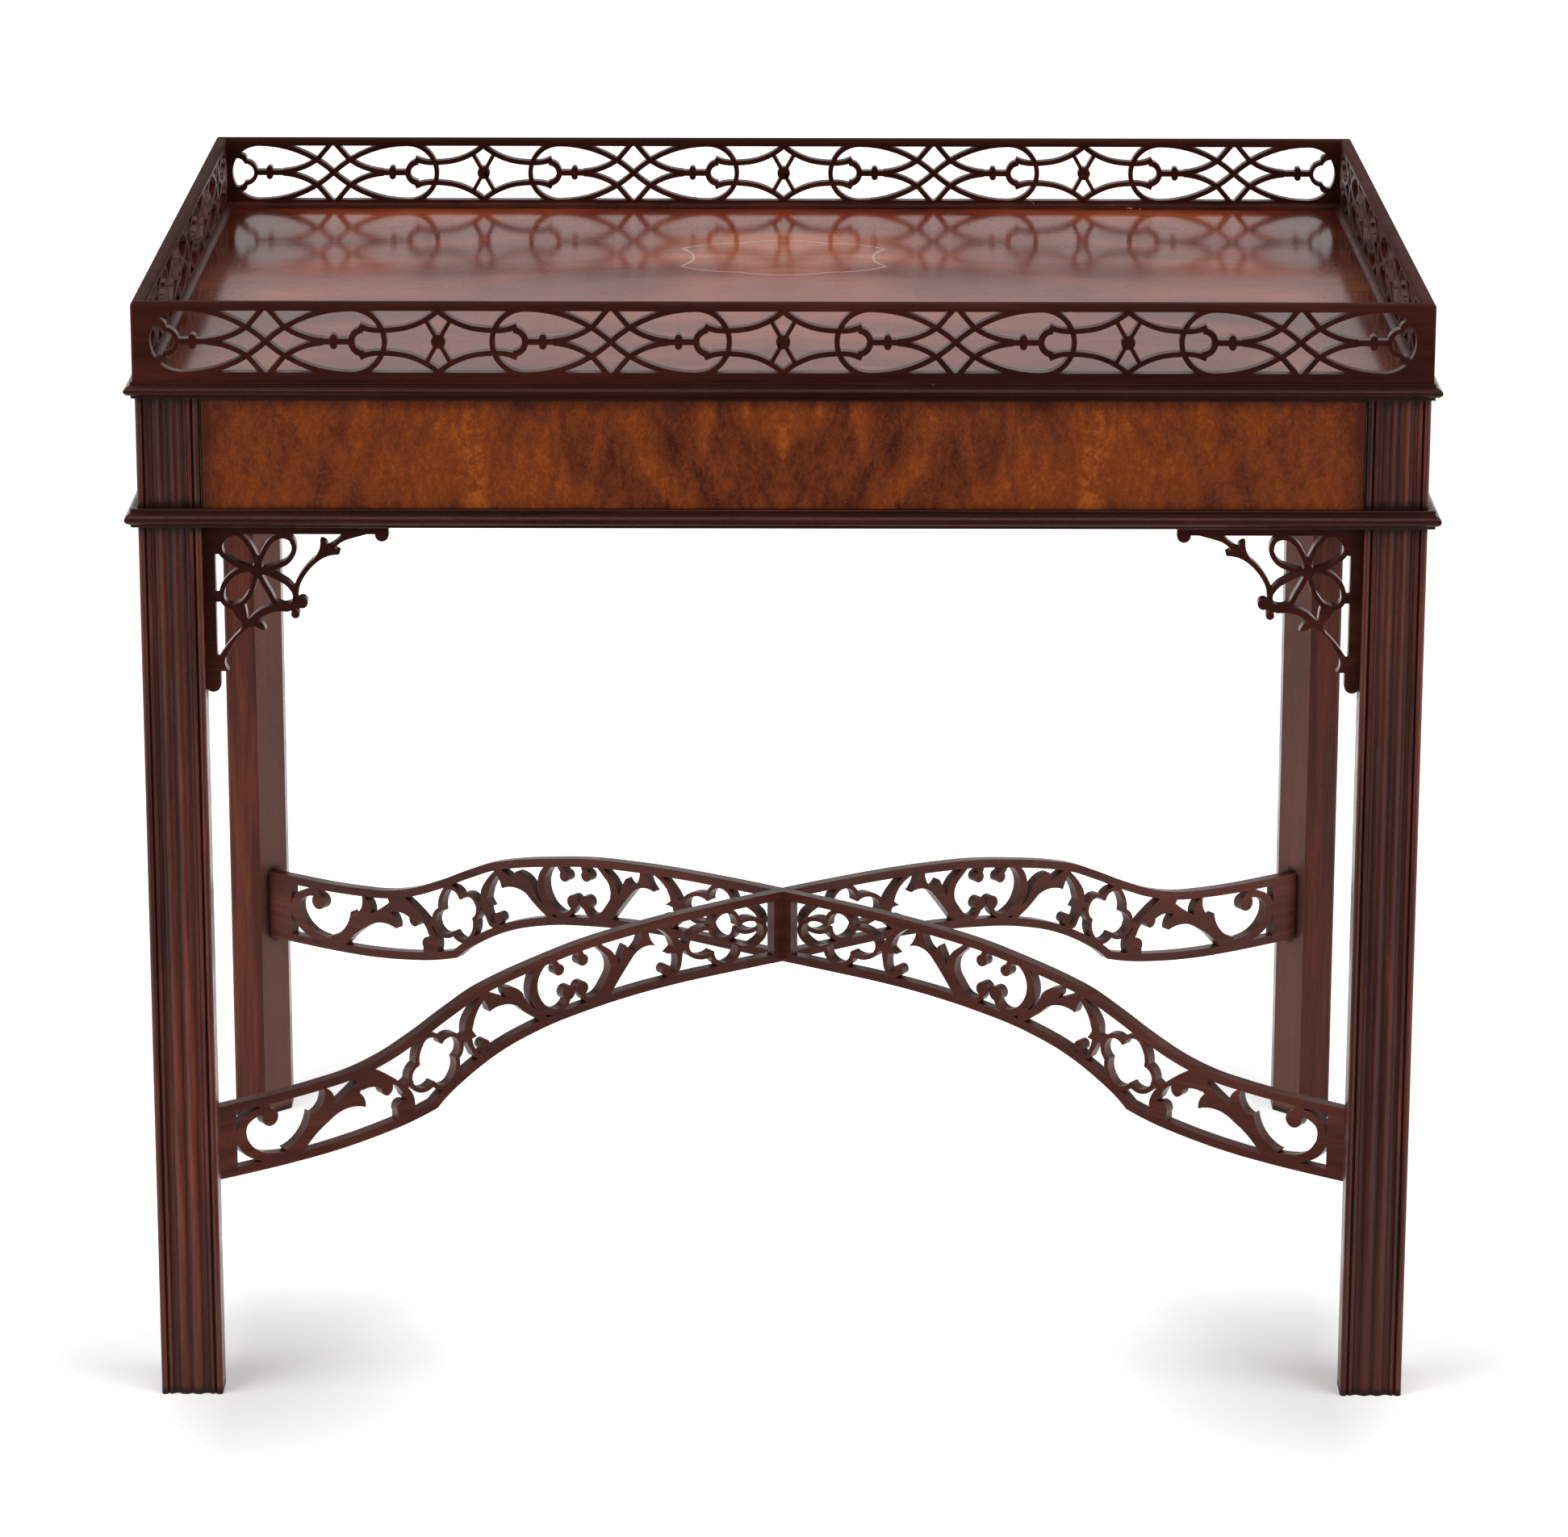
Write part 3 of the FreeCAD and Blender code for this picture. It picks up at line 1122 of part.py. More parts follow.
arm_flat = stretcher_arm_face()
for index, corner in enumerate(CORNERS):
    make_leg(index, corner)
    make_corner_block(index, corner)
bracket_flat = bracket_face()
panels = {name: gallery_panel(size(name), lattices) for name, lattices in LATTICES.items()}
for side, (degrees, length_name, half, distance) in SIDES.items():
    make_rail(side, degrees, length_name, distance)
    make_frieze_veneer(side, degrees, length_name, distance)
    make_mouldings(side, degrees, length_name, half, distance)
    make_cove(side, degrees, length_name, half, distance)
    feature(f"gallery_{side}", panels[length_name].copy(),
            turned(0.0, -distance - size("gallery_overhang"), BASE_Z, degrees))
    for hand in (-1, 1):
        make_bracket(side, hand, degrees, half, distance, bracket_flat)
make_top()
make_screws()
make_stretcher("stretcher_rising_right", ARM_ANGLE, arm_flat, False)
make_stretcher("stretcher_falling_right", -ARM_ANGLE, arm_flat, True)
check_and_export()
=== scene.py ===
import math

import bpy
from mathutils import Euler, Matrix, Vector


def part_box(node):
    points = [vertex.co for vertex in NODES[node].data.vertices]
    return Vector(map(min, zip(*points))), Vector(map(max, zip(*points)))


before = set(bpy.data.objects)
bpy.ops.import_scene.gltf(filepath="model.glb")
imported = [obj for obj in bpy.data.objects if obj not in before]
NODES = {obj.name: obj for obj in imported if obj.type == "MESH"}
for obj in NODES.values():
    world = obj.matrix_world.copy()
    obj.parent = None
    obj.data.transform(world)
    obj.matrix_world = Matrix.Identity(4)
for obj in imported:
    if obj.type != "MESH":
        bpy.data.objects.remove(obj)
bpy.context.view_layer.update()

# The looks of a mahogany tea table with a pierced gallery. Metres, +Z up, -Y to the front.
MM = 0.001


def srgb(red, green, blue):
    """A linear colour from the 0 to 255 values that a screen shows."""
    def linear(value):
        share = value / 255
        return share / 12.92 if share <= 0.04045 else ((share + 0.055) / 1.055) ** 2.4
    return (linear(red), linear(green), linear(blue), 1.0)


def faded(colour, share):
    """The colour with its light multiplied by share."""
    return tuple(min(1.0, channel * share) for channel in colour[:3]) + (1.0,)


# Camera: where it stands, how far it looks down and how it leans
CAMERA_PLACE = (0.95 * MM, -4024.4 * MM, 1478.3 * MM)
CAMERA_PITCH = math.radians(15.77)
CAMERA_ROLL = math.radians(0.096)
CLIP_RANGE = (0.1, 60.0)
FOCAL_PIXELS = 7548.0
IMAGE_WIDTH = 1943.0
SENSOR_WIDTH = 36.0

# Lamps: place (on the right, for the pair at the sides), width, height and watts
LIT_POINT = (0.0, 0.0, 0.4)
SIDE_BOX = ((2.5, -1.6, 1.35), 2.2, 2.0, 48.0)
BOX_ABOVE = ((0.0, -1.3, 2.6), 2.6, 0.7, 22.0)

# The white studio: its strength as a light, what reflections see of its dark front end, and
# where that end is darkest and where it stops, as the Y of the direction looked in
WORLD_LIGHT = 0.30
STUDIO_FRONT = 0.08
FRONT_END = (-0.98, -0.80)

# The floor. Light of its own keeps it white, but less of it by the feet, so shadows show.
WHITE = (1.0, 1.0, 1.0, 1.0)
BLACK = (0.0, 0.0, 0.0, 1.0)
FLOOR_WHITE = (0.88, 0.88, 0.88, 1.0)
FLOOR_HALF = 20.0
FLOOR_ROUGHNESS = 0.9
FOOT_PLACE = (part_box("leg_back_right")[0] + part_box("leg_back_right")[1]) / 2
FOOT_MARGIN = 0.03
GLOW_BY_FRONT_FEET = 0.09
GLOW_BY_BACK_FEET = 0.56
FRONT_TO_BACK = (-0.1, 0.1)
GLOW_OUTSIDE_FEET = 0.22
GLOW_FAR_OFF = 0.92
SHADOW_REACH = (0.03, 0.40)

# Turns that lay the grain of a board along X, named by the axis that it runs along
ALONG_X = (0.0, 0.0, 0.0)
ALONG_Y = (0.0, 0.0, math.pi / 2)
ALONG_Z = (0.0, math.pi / 2, 0.0)
ARM_ANGLE = math.atan2(
    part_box("stretcher_rising_right")[1].y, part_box("stretcher_rising_right")[1].x)

# Layers of grain and figure: how often they change in a metre along each axis, then detail,
# roughness, distortion and turn
DRIFT = ((1.6, 14, 14), 3.0, 0.55, 0.6)
RIBBON = ((5, 90, 90), 4.0, 0.6, 0.8)
STREAK = ((14, 420, 420), 3.0, 0.6, 0.3)
PORES = ((110, 2600, 2600), 2.0, 0.7)
RIPPLE = ((9, 34, 34),)
FRIEZE_CLOUD = ((15, 1, 9), 3.0, 0.55, 0.7, (0, 0.5, 0))
FRIEZE_MOTTLE = ((64, 1, 24), 5.0, 0.68, 0.8, (0, 0.35, 0))
FRIEZE_CRINKLE = ((300, 1, 240), 3.0, 0.6, 1.2)
FRIEZE_WARP = ((7, 1, 5), 3.0)
FRIEZE_FLECK = ((90, 1, 120), 4.0, 0.65, 1.0, (0, 0.2, 0))
FRIEZE_PORES = ((2600, 1, 420), 2.0, 0.7, 0.0, (0, 0.45, 0))
FRIEZE_AGED = ((8, 8, 14),)
FRIEZE_RIPPLE = ((14, 14, 14),)
TOP_WARP = ((3.2, 4.6, 1), 3.0)
TOP_CLOUD = ((4, 8, 1), 4.0, 0.55, 0.8)
TOP_STREAK = ((18, 210, 1), 4.0, 0.6, 0.5, (0, 0, 0.15))
TOP_PORES = ((240, 2600, 1), 2.0, 0.7)
INLAY_GRAIN = ((500, 900, 500), 3.0, 0.6)
MOST_OF_NOISE = (0.25, 0.75)
PORE_LEVELS = (0.56, 0.70)
TOP_PORE_LEVELS = (0.58, 0.72)

# Scattered patches: scale, and the levels of the noise where they start and where they are full
CHIP_SPOTS = (210.0, 0.70, 0.74)
CHIP_AREAS = (9.0, 0.54, 0.62)
HAIR_AREAS = (6.0, 0.55, 0.65)

# How deep the surface's unevenness goes
GRAIN_DEPTH = 0.06 * MM
RIPPLE_DEPTH = 0.4 * MM
FRIEZE_GRAIN_DEPTH = 0.05 * MM
FRIEZE_RIPPLE_DEPTH = 0.6 * MM
TOP_PORE_DEPTH = 0.02 * MM
TOP_RIPPLE_DEPTH = 0.1 * MM
INLAY_DEPTH = 0.03 * MM
STEEL_DEPTH = 0.04 * MM

# Plain mahogany: dark, middle and light tones, and what lies over them
LEG_TONES = (srgb(34, 11, 8), srgb(74, 30, 22), srgb(118, 55, 37))
DARK_TONES = (srgb(27, 8, 6), srgb(48, 17, 12), srgb(76, 31, 21))
FRET_TONES = (srgb(42, 18, 14), srgb(73, 35, 29), srgb(102, 53, 42))
RAW_TONES = (srgb(96, 62, 38), srgb(132, 90, 58), srgb(160, 116, 78))
TONE_SPREAD = 0.17
EDGE_STAIN = srgb(22, 8, 7)
BARE_WOOD = srgb(176, 128, 92)
# painted sheen on the sawn walls of frets
SAWN_WALL_SHEEN = srgb(126, 102, 100)
# painted sheen on the legs' chamfers
CHAMFER_SHEEN = srgb(136, 92, 82)
WARM_SHEEN = (1.0, 0.78, 0.72, 1.0)
LOW_SPECULAR = 0.14

# Painted shade with old wax in corners, painted shade in flutes, and wear with a painted
# highlight on edges: how far they look round a point, how open a place is where each is full
# and where it ends, and how strong each is
CORNER_REACH = 7 * MM
CORNER_OPENNESS = (0.20, 0.70)
FLUTE_OPENNESS = (0.76, 0.97)
CORNER_SHADE_AND_DIRT = 0.65
FRET_SHADE_AND_DIRT = 0.35
EDGE_REACH = 1.6 * MM
EDGE_OPENNESS = (0.80, 0.42)
EDGE_WEAR_AND_HIGHLIGHT = 0.5
SLANT = math.sqrt(0.5)
WORN_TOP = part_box("gallery_front")[1].z - 4.0 * MM

# Frieze veneer
FRIEZE_STOPS = (
    (0.0, srgb(56, 22, 13)), (0.32, srgb(92, 40, 18)), (0.62, srgb(116, 53, 19)),
    (1.0, srgb(150, 76, 24)))
FRIEZE_PORE = srgb(48, 18, 10)
FRIEZE_CRACK = srgb(40, 16, 9)
FRIEZE_RIM = srgb(52, 22, 15)
# colour of the painted shadow line along the frieze's foot and head
FRIEZE_SHADOW_LINE = srgb(26, 10, 8)
FRIEZE_ROUGHNESS = (0.24, 0.38)
FRIEZE_MIDDLE = sum(corner.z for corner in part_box("frieze_veneer_front")) / 2
FLAME_SCALE = 74.0
STRIPE_PLACE, STRIPE_WIDTH = 0.195, 0.011
PLUME_PLACE, PLUME_WIDTH = 0.080, 0.016
RIM_FADES = (0.5 * MM, 13 * MM)
LINE_FADES = (0.3 * MM, 2.2 * MM)

# Top veneer, inlay and screws
TOP_STOPS = (
    (0.0, srgb(84, 29, 20)), (0.4, srgb(128, 52, 35)), (0.7, srgb(156, 70, 41)),
    (1.0, srgb(192, 96, 48)))
TOP_PORE = srgb(34, 12, 8)
# colour of painted shade with dirt along the coves, and of the darker ends
TOP_SHADE_AND_DARK_END = srgb(28, 10, 7)
TOP_HAIR = srgb(196, 142, 96)
TOP_ROUGHNESS = (0.09, 0.13)
TOP_SHEEN = (1.0, 0.88, 0.86, 1.0)
TOP_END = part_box("gallery_right")[0].x
TOP_REACH = 20 * MM
FEATHER_SCALE = 13.0
FLARE = (0.0, 0.13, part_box("top_veneer_left")[1].z)
FLARE_REACH = (0.02, 0.15)
HAIR_ANGLES = (0.35, -0.22)
INLAY_STOPS = ((0.3, srgb(132, 84, 52)), (0.7, srgb(176, 124, 80)))
INLAY_ROUGHNESS = (0.14, 0.24)
STEEL_STOPS = ((0.35, srgb(58, 46, 40)), (0.6, srgb(122, 116, 110)))

# Eased edges
EASED_EDGE = 0.35 * MM
FRET_EDGE = 0.18 * MM
FRETTED = ("stretcher_", "gallery_", "bracket_")
EDGE_ANGLE = math.radians(35)
SAME_POINT = 0.002 * MM

# The sides: axis that their pieces run along, turn, direction that a board faces, and names
SIDE_RUNS = (("x", ALONG_X, (0.0, 1.0, 0.0), ("front", "back")),
             ("y", ALONG_Y, (1.0, 0.0, 0.0), ("left", "right")))

# Plain pieces along the sides: first part of the nodes' names, tones, roughness, specular
# level and how strongly painted shade darkens their hollows
SIDE_PIECES = (("gallery_", DARK_TONES, 0.36, LOW_SPECULAR, 0.0),
               ("gallery_cove_", DARK_TONES, 0.40, LOW_SPECULAR, 0.5),
               ("upper_moulding_", DARK_TONES, 0.24, 0.18, 0.7),
               ("lower_moulding_", DARK_TONES, 0.24, 0.18, 0.7),
               ("bracket_", DARK_TONES, 0.34, LOW_SPECULAR, 0.0),
               ("frieze_rail_", RAW_TONES, 0.60, LOW_SPECULAR, 0.0))

# The rails' outer faces, as an axis and a distance along it
RAIL_SKINS = {"x": (1, -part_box("frieze_rail_front")[0].y - MM),
              "y": (0, -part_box("frieze_rail_left")[0].x - MM)}


# Short calls for shader nodes


class Graph:
    """The nodes of a material or of the world. All calls but put, add and shade give a socket."""

    def __init__(self, name="", tree=None):
        if tree is None:
            self.material = bpy.data.materials.new(name)
            self.material.use_nodes = True
            tree = self.material.node_tree
        self.tree = tree
        self.tree.nodes.clear()
        if name:
            self.output = self.tree.nodes.new("ShaderNodeOutputMaterial")

    def put(self, socket, value):
        if isinstance(value, bpy.types.NodeSocket):
            self.tree.links.new(value, socket)
        elif value is not None:
            socket.default_value = value

    def add(self, kind, inputs=(), **settings):
        node = self.tree.nodes.new(kind)
        for name, value in settings.items():
            setattr(node, name, value)
        for name, value in dict(inputs).items():
            self.put(node.inputs[name], value)
        return node

    def place(self):
        """The point's place in the table's own frame, in metres."""
        return self.add("ShaderNodeTexCoord").outputs["Object"]

    def outward(self):
        """The direction that the surface faces in the table's own frame."""
        return self.add("ShaderNodeTexCoord").outputs["Normal"]

    def turned(self, vector, turn=(0, 0, 0), scale=(1, 1, 1)):
        node = self.add("ShaderNodeMapping", {"Vector": vector})
        node.inputs["Rotation"].default_value = Euler(turn)
        node.inputs["Scale"].default_value = scale
        return node.outputs["Vector"]

    def math(self, operation, first, second=None):
        node = self.add("ShaderNodeMath", operation=operation)
        for socket, value in zip(node.inputs, (first, second)):
            self.put(socket, value)
        return node.outputs[0]

    def plus(self, first, second):
        return self.math("ADD", first, second)

    def minus(self, first, second):
        return self.math("SUBTRACT", first, second)

    def times(self, first, second):
        return self.math("MULTIPLY", first, second)

    def smaller(self, first, second):
        return self.math("MINIMUM", first, second)

    def larger(self, first, second):
        return self.math("MAXIMUM", first, second)

    def absolute(self, value):
        return self.math("ABSOLUTE", value)

    def total(self, *parts):
        """The sum of (value, share) pairs, each value multiplied by its share."""
        result = None
        for value, share in parts:
            part = self.times(value, share)
            result = part if result is None else self.plus(result, part)
        return result

    def vector_math(self, operation, first, second=None):
        node = self.add("ShaderNodeVectorMath", operation=operation)
        for socket, value in zip(node.inputs, (first, second)):
            self.put(socket, value)
        single = operation in ("DISTANCE", "DOT_PRODUCT")
        return node.outputs["Value" if single else "Vector"]

    def split(self, vector):
        return self.add("ShaderNodeSeparateXYZ", {"Vector": vector}).outputs

    def joined(self, x, y, z):
        return self.add("ShaderNodeCombineXYZ", {"X": x, "Y": y, "Z": z}).outputs["Vector"]

    def noise(self, vector, scale, detail=2.0, rough=0.5, distortion=0.0):
        return self.add("ShaderNodeTexNoise", {
            "Vector": vector, "Scale": scale, "Detail": detail, "Roughness": rough,
            "Distortion": distortion}).outputs["Fac"]

    def layer(self, vector, scale, detail=2.0, rough=0.5, distortion=0.0, turn=(0, 0, 0)):
        """Noise with a scale of its own along each axis."""
        return self.noise(self.turned(vector, turn, scale), 1.0, detail, rough, distortion)

    def levels(self, value, low, high, out_low=0.0, out_high=1.0, smooth=False):
        """value moved from low..high to out_low..out_high and held there."""
        node = self.add("ShaderNodeMapRange", {
            "Value": value, "From Min": low, "From Max": high, "To Min": out_low,
            "To Max": out_high})
        node.interpolation_type = "SMOOTHSTEP" if smooth else "LINEAR"
        return node.outputs["Result"]

    def band(self, value, middle, width):
        """1 where value is at the middle of the band, falling to 0 at width on either side."""
        away = self.absolute(self.minus(value, middle))
        return self.levels(away, 0.0, width, 1.0, 0.0, smooth=True)

    def patches(self, vector, scale, low, high):
        """1 in scattered patches and 0 between them."""
        return self.levels(self.noise(vector, scale), low, high)

    def smudged(self, place, scale, low, high, detail=4.0, distortion=0.4):
        """A roughness that wanders from low to high, as polish does under hands and cloths."""
        smudge = self.noise(place, scale, detail, 0.6, distortion)
        return self.levels(smudge, *MOST_OF_NOISE, low, high)

    def openness(self, distance, samples=8, inside=False):
        """1 where nothing stands close by, and less in corners; inside, less by thin edges."""
        return self.add("ShaderNodeAmbientOcclusion", {"Distance": distance},
                        samples=samples, inside=inside).outputs["AO"]

    def mixed(self, share, first, second):
        node = self.add("ShaderNodeMix", data_type="RGBA")
        self.put(node.inputs["Factor"], share)
        self.put(node.inputs[6], first)
        self.put(node.inputs[7], second)
        return node.outputs[2]

    def ramp(self, value, stops):
        node = self.add("ShaderNodeValToRGB", {"Fac": value})
        elements = node.color_ramp.elements
        while len(elements) < len(stops):
            elements.new(0.5)
        for element, (position, colour) in zip(elements, stops):
            element.position = position
            element.color = colour
        return node.outputs["Color"]

    def bump(self, height, distance, strength=1.0, under=None):
        return self.add("ShaderNodeBump", {
            "Height": height, "Distance": distance, "Strength": strength,
            "Normal": under}).outputs["Normal"]

    def shade(self, colour, roughness, normal=None, **values):
        """The material, finished with a principled shader. Constants go on its own sockets."""
        shader = self.add("ShaderNodeBsdfPrincipled", {
            "Base Color": colour, "Roughness": roughness, "Normal": normal})
        for name, value in values.items():
            self.put(shader.inputs[name.replace("_", " ")], value)
        self.tree.links.new(shader.outputs[0], self.output.inputs["Surface"])
        return self.material


def dress(prefix, material):
    """The material on every CAD node whose name starts so."""
    for name, node in NODES.items():
        if name.startswith(prefix):
            node.data.materials.clear()
            node.data.materials.append(material)


# Camera, floor and light


def make_camera():
    data = bpy.data.cameras.new("camera")
    data.sensor_width = SENSOR_WIDTH
    data.sensor_fit = "HORIZONTAL"
    data.lens = FOCAL_PIXELS / IMAGE_WIDTH * SENSOR_WIDTH
    data.clip_start, data.clip_end = CLIP_RANGE
    camera = bpy.data.objects.new("camera", data)
    bpy.context.scene.collection.objects.link(camera)
    camera.location = CAMERA_PLACE
    look = Euler((math.pi / 2 - CAMERA_PITCH, 0, 0)).to_matrix()
    lean = Euler((0, 0, CAMERA_ROLL)).to_matrix()
    camera.rotation_euler = (look @ lean).to_euler()
    bpy.context.scene.camera = camera


def studio_rays(graph, direction):
    """What rays see of the white studio round the table.

    The first value is 1 for camera, glossy and transmission rays and 0 for the rest. The second
    is 1, apart from glossy rays that look towards the dark end of the studio in front.
    """
    path = graph.add("ShaderNodeLightPath")
    seen = graph.larger(path.outputs["Is Camera Ray"], path.outputs["Is Glossy Ray"])
    seen = graph.larger(seen, path.outputs["Is Transmission Ray"])
    _, away, _ = graph.split(graph.vector_math("NORMALIZE", direction))
    darkness = graph.levels(away, *FRONT_END, 1.0 - STUDIO_FRONT, 0.0, smooth=True)
    darkness = graph.times(darkness, path.outputs["Is Glossy Ray"])
    return seen, graph.minus(1.0, darkness)


def floor_glow(graph, place):
    """The floor's own light: little between and before the feet, and nearly full far off."""
    quarter = graph.vector_math("ABSOLUTE", place)
    outside = graph.levels(graph.split(quarter)[0], FOOT_PLACE.x - FOOT_MARGIN,
                           FOOT_PLACE.x + FOOT_MARGIN)
    near = graph.levels(graph.split(place)[1], *FRONT_TO_BACK, GLOW_BY_FRONT_FEET,
                        GLOW_BY_BACK_FEET)
    near = graph.plus(near, graph.times(outside, GLOW_OUTSIDE_FEET))
    from_foot = graph.vector_math("DISTANCE", quarter, (FOOT_PLACE.x, FOOT_PLACE.y, 0.0))
    far = graph.levels(from_foot, *SHADOW_REACH, smooth=True)
    return graph.plus(near, graph.times(far, graph.minus(GLOW_FAR_OFF, near)))


def make_floor():
    half = FLOOR_HALF
    mesh = bpy.data.meshes.new("floor")
    mesh.from_pydata([(-half, -half, 0), (half, -half, 0), (half, half, 0), (-half, half, 0)],
                     [], [(0, 1, 2, 3)])
    floor = bpy.data.objects.new("floor", mesh)
    bpy.context.scene.collection.objects.link(floor)
    graph = Graph("pale_floor")
    place = graph.place()
    seen, dimmer = studio_rays(graph, place)
    glow = graph.times(graph.times(seen, dimmer), floor_glow(graph, place))
    material = graph.shade(graph.mixed(dimmer, BLACK, FLOOR_WHITE), FLOOR_ROUGHNESS,
                           Emission_Color=WHITE, Emission_Strength=glow,
                           Specular_IOR_Level=0.0)
    mesh.materials.append(material)


def make_world():
    world = bpy.data.worlds.new("studio")
    world.use_nodes = True
    bpy.context.scene.world = world
    graph = Graph(tree=world.node_tree)
    seen, dimmer = studio_rays(graph, graph.add("ShaderNodeTexCoord").outputs["Generated"])
    strength = graph.times(graph.levels(seen, 0.0, 1.0, WORLD_LIGHT, 1.0), dimmer)
    background = graph.add("ShaderNodeBackground", {"Color": WHITE, "Strength": strength})
    output = graph.add("ShaderNodeOutputWorld")
    graph.tree.links.new(background.outputs[0], output.inputs["Surface"])


def soft_box(name, place, width, height, watts, mirrored=True):
    """A lamp that looks at the table. Unless it is mirrored, no reflection shows it."""
    data = bpy.data.lights.new(name, "AREA")
    data.shape = "RECTANGLE"
    data.size = width
    data.size_y = height
    data.energy = watts
    lamp = bpy.data.objects.new(name, data)
    lamp.visible_glossy = mirrored
    bpy.context.scene.collection.objects.link(lamp)
    lamp.location = place
    aim = Vector(LIT_POINT) - Vector(place)
    lamp.rotation_euler = aim.to_track_quat("-Z", "Y").to_euler()


def make_lights():
    (x, y, z), *face = SIDE_BOX
    for side, name in ((-1, "soft_box_left"), (1, "soft_box_right")):
        soft_box(name, (side * x, y, z), *face, mirrored=False)
    soft_box("soft_box_above", *BOX_ABOVE)


# Plain wood


def straight_grain(graph, board, tones, figure):
    """The colour of straight grain, and the streaks and pores in it."""
    dark, middle, light = tones
    # slow colour changes along the board, then growth streaks and pores
    drift = graph.layer(board, *DRIFT)
    ribbon = graph.layer(board, *RIBBON)
    streak = graph.layer(board, *STREAK)
    pores = graph.levels(graph.layer(board, *PORES), *PORE_LEVELS)
    tone = graph.total((drift, 0.46), (ribbon, 0.32), (streak, 0.22))
    spread = TONE_SPREAD / figure
    tone = graph.levels(tone, 0.5 - spread, 0.5 + spread)
    colour = graph.ramp(tone, ((0.0, dark), (0.5, middle), (1.0, light)))
    return graph.mixed(graph.times(pores, 0.5), colour, faded(dark, 0.3)), streak, pores


def shaded_and_worn(graph, place, colour, tones, most_shade_and_dirt, hollows):
    """The colour with painted shade and old wax in the corners, and the mask of that and the
    chips.

    Painted shade also darkens shallow flutes. The edges are painted paler, partly for wear and
    partly as a painted highlight, and small chips show the bare wood.
    """
    dark, _, light = tones
    openness = graph.openness(CORNER_REACH)
    patch = graph.noise(place, 24.0, 3.0, 0.6)
    # painted shade with old wax: darker where other surfaces stand close
    shade_and_dirt = graph.levels(openness, *CORNER_OPENNESS, most_shade_and_dirt, 0.0)
    shade_and_dirt = graph.times(shade_and_dirt, graph.levels(patch, 0.25, 0.65, 0.55, 1.0))
    if hollows:
        # painted shade in shallow flutes and hollows
        flute_shade = graph.levels(openness, *FLUTE_OPENNESS, hollows, 0.0)
        shade_and_dirt = graph.larger(shade_and_dirt, flute_shade)
    colour = graph.mixed(shade_and_dirt, colour, faded(dark, 0.28))
    # edges painted paler: partly wear, partly a painted highlight
    thin_edge = graph.levels(graph.openness(EDGE_REACH, inside=True), *EDGE_OPENNESS)
    rubbed_and_highlit = graph.times(graph.times(thin_edge, EDGE_WEAR_AND_HIGHLIGHT), graph.levels(patch, 0.38, 0.68))
    colour = graph.mixed(rubbed_and_highlit, colour, faded(light, 1.9))
    # here and there a small chip shows the bare wood
    chip = graph.times(thin_edge, graph.patches(place, *CHIP_SPOTS))
    chip = graph.times(chip, graph.patches(place, *CHIP_AREAS))
    return graph.mixed(chip, colour, BARE_WOOD), shade_and_dirt, chip


def on_chamfer(graph, place):
    """Half on a leg's chamfer, which faces the table's middle, and 0 elsewhere."""
    inward = graph.vector_math("MULTIPLY", graph.vector_math("SIGN", place),
                               (-SLANT, -SLANT, 0.0))
    facing = graph.vector_math("DOT_PRODUCT", graph.outward(), inward)
    return graph.levels(facing, 0.90, 0.97, 0.0, 0.5)


def on_sawn_wall(graph, faces):
    """1 on the sawn walls of a fret, and 0 on the board's faces and on what looks up."""
    outward = graph.outward()
    facing = graph.absolute(graph.vector_math("DOT_PRODUCT", outward, faces))
    upward = graph.split(outward)[2]
    return graph.times(graph.levels(facing, 0.30, 0.60, 1.0, 0.0),
                       graph.levels(upward, 0.55, 0.80, 1.0, 0.0))


def wood(name, turn, tones, figure=1.0, gloss=0.28, specular=0.3, hollows=0.0, skin=None,
         dull_above=None, flat=None, chamfer=False):
    """Straight-grained, stained and waxed mahogany. turn lays its grain along X.

    gloss is the middle of its roughness. hollows is how strongly painted shade darkens shallow
    flutes. skin is (axis, distance): further out than that along the axis, the wood is stained
    dark. Hands have worn the polish dull above dull_above. flat is the direction that a fretted
    board faces; its sawn walls are painted paler, a painted sheen. With chamfer, what faces the
    table's middle at a slant is painted paler and greyer, a painted sheen. Corners get painted
    shade with old wax, and edges get wear with a painted highlight.
    """
    graph = Graph(name)
    place = graph.place()
    board = graph.turned(place, turn)
    colour, streak, pores = straight_grain(graph, board, tones, figure)
    if skin:
        axis, distance = skin
        out = graph.absolute(graph.split(place)[axis])
        stained = graph.levels(out, distance, distance + 0.5 * MM)
        colour = graph.mixed(stained, colour, EDGE_STAIN)
    if chamfer:
        # painted sheen: the chamfers are painted paler and greyer
        colour = graph.mixed(on_chamfer(graph, place), colour, CHAMFER_SHEEN)
    most_shade_and_dirt = FRET_SHADE_AND_DIRT if flat else CORNER_SHADE_AND_DIRT
    colour, shade_and_dirt, chip = shaded_and_worn(graph, place, colour, tones, most_shade_and_dirt, hollows)
    roughness = graph.smudged(place, 38.0, gloss - 0.07, gloss + 0.09)
    roughness = graph.plus(roughness, graph.times(shade_and_dirt, 0.25))
    if flat:
        # painted sheen: the sawn walls are painted paler, and they are shinier
        wall = on_sawn_wall(graph, flat)
        colour = graph.mixed(graph.times(wall, 0.45), colour, SAWN_WALL_SHEEN)
        roughness = graph.minus(roughness, graph.times(wall, 0.10))
    if dull_above:
        up = graph.split(place)[2]
        dull = graph.levels(up, dull_above, dull_above + 2.0 * MM, 0.0, 0.40)
        roughness = graph.plus(roughness, dull)
    height = graph.total((streak, 0.35), (pores, -0.65), (chip, -4.0))
    normal = graph.bump(height, GRAIN_DEPTH)
    normal = graph.bump(graph.layer(board, *RIPPLE), RIPPLE_DEPTH, 0.6, normal)
    return graph.shade(colour, roughness, normal, Specular_IOR_Level=specular,
                       Specular_Tint=WARM_SHEEN)


# Veneers


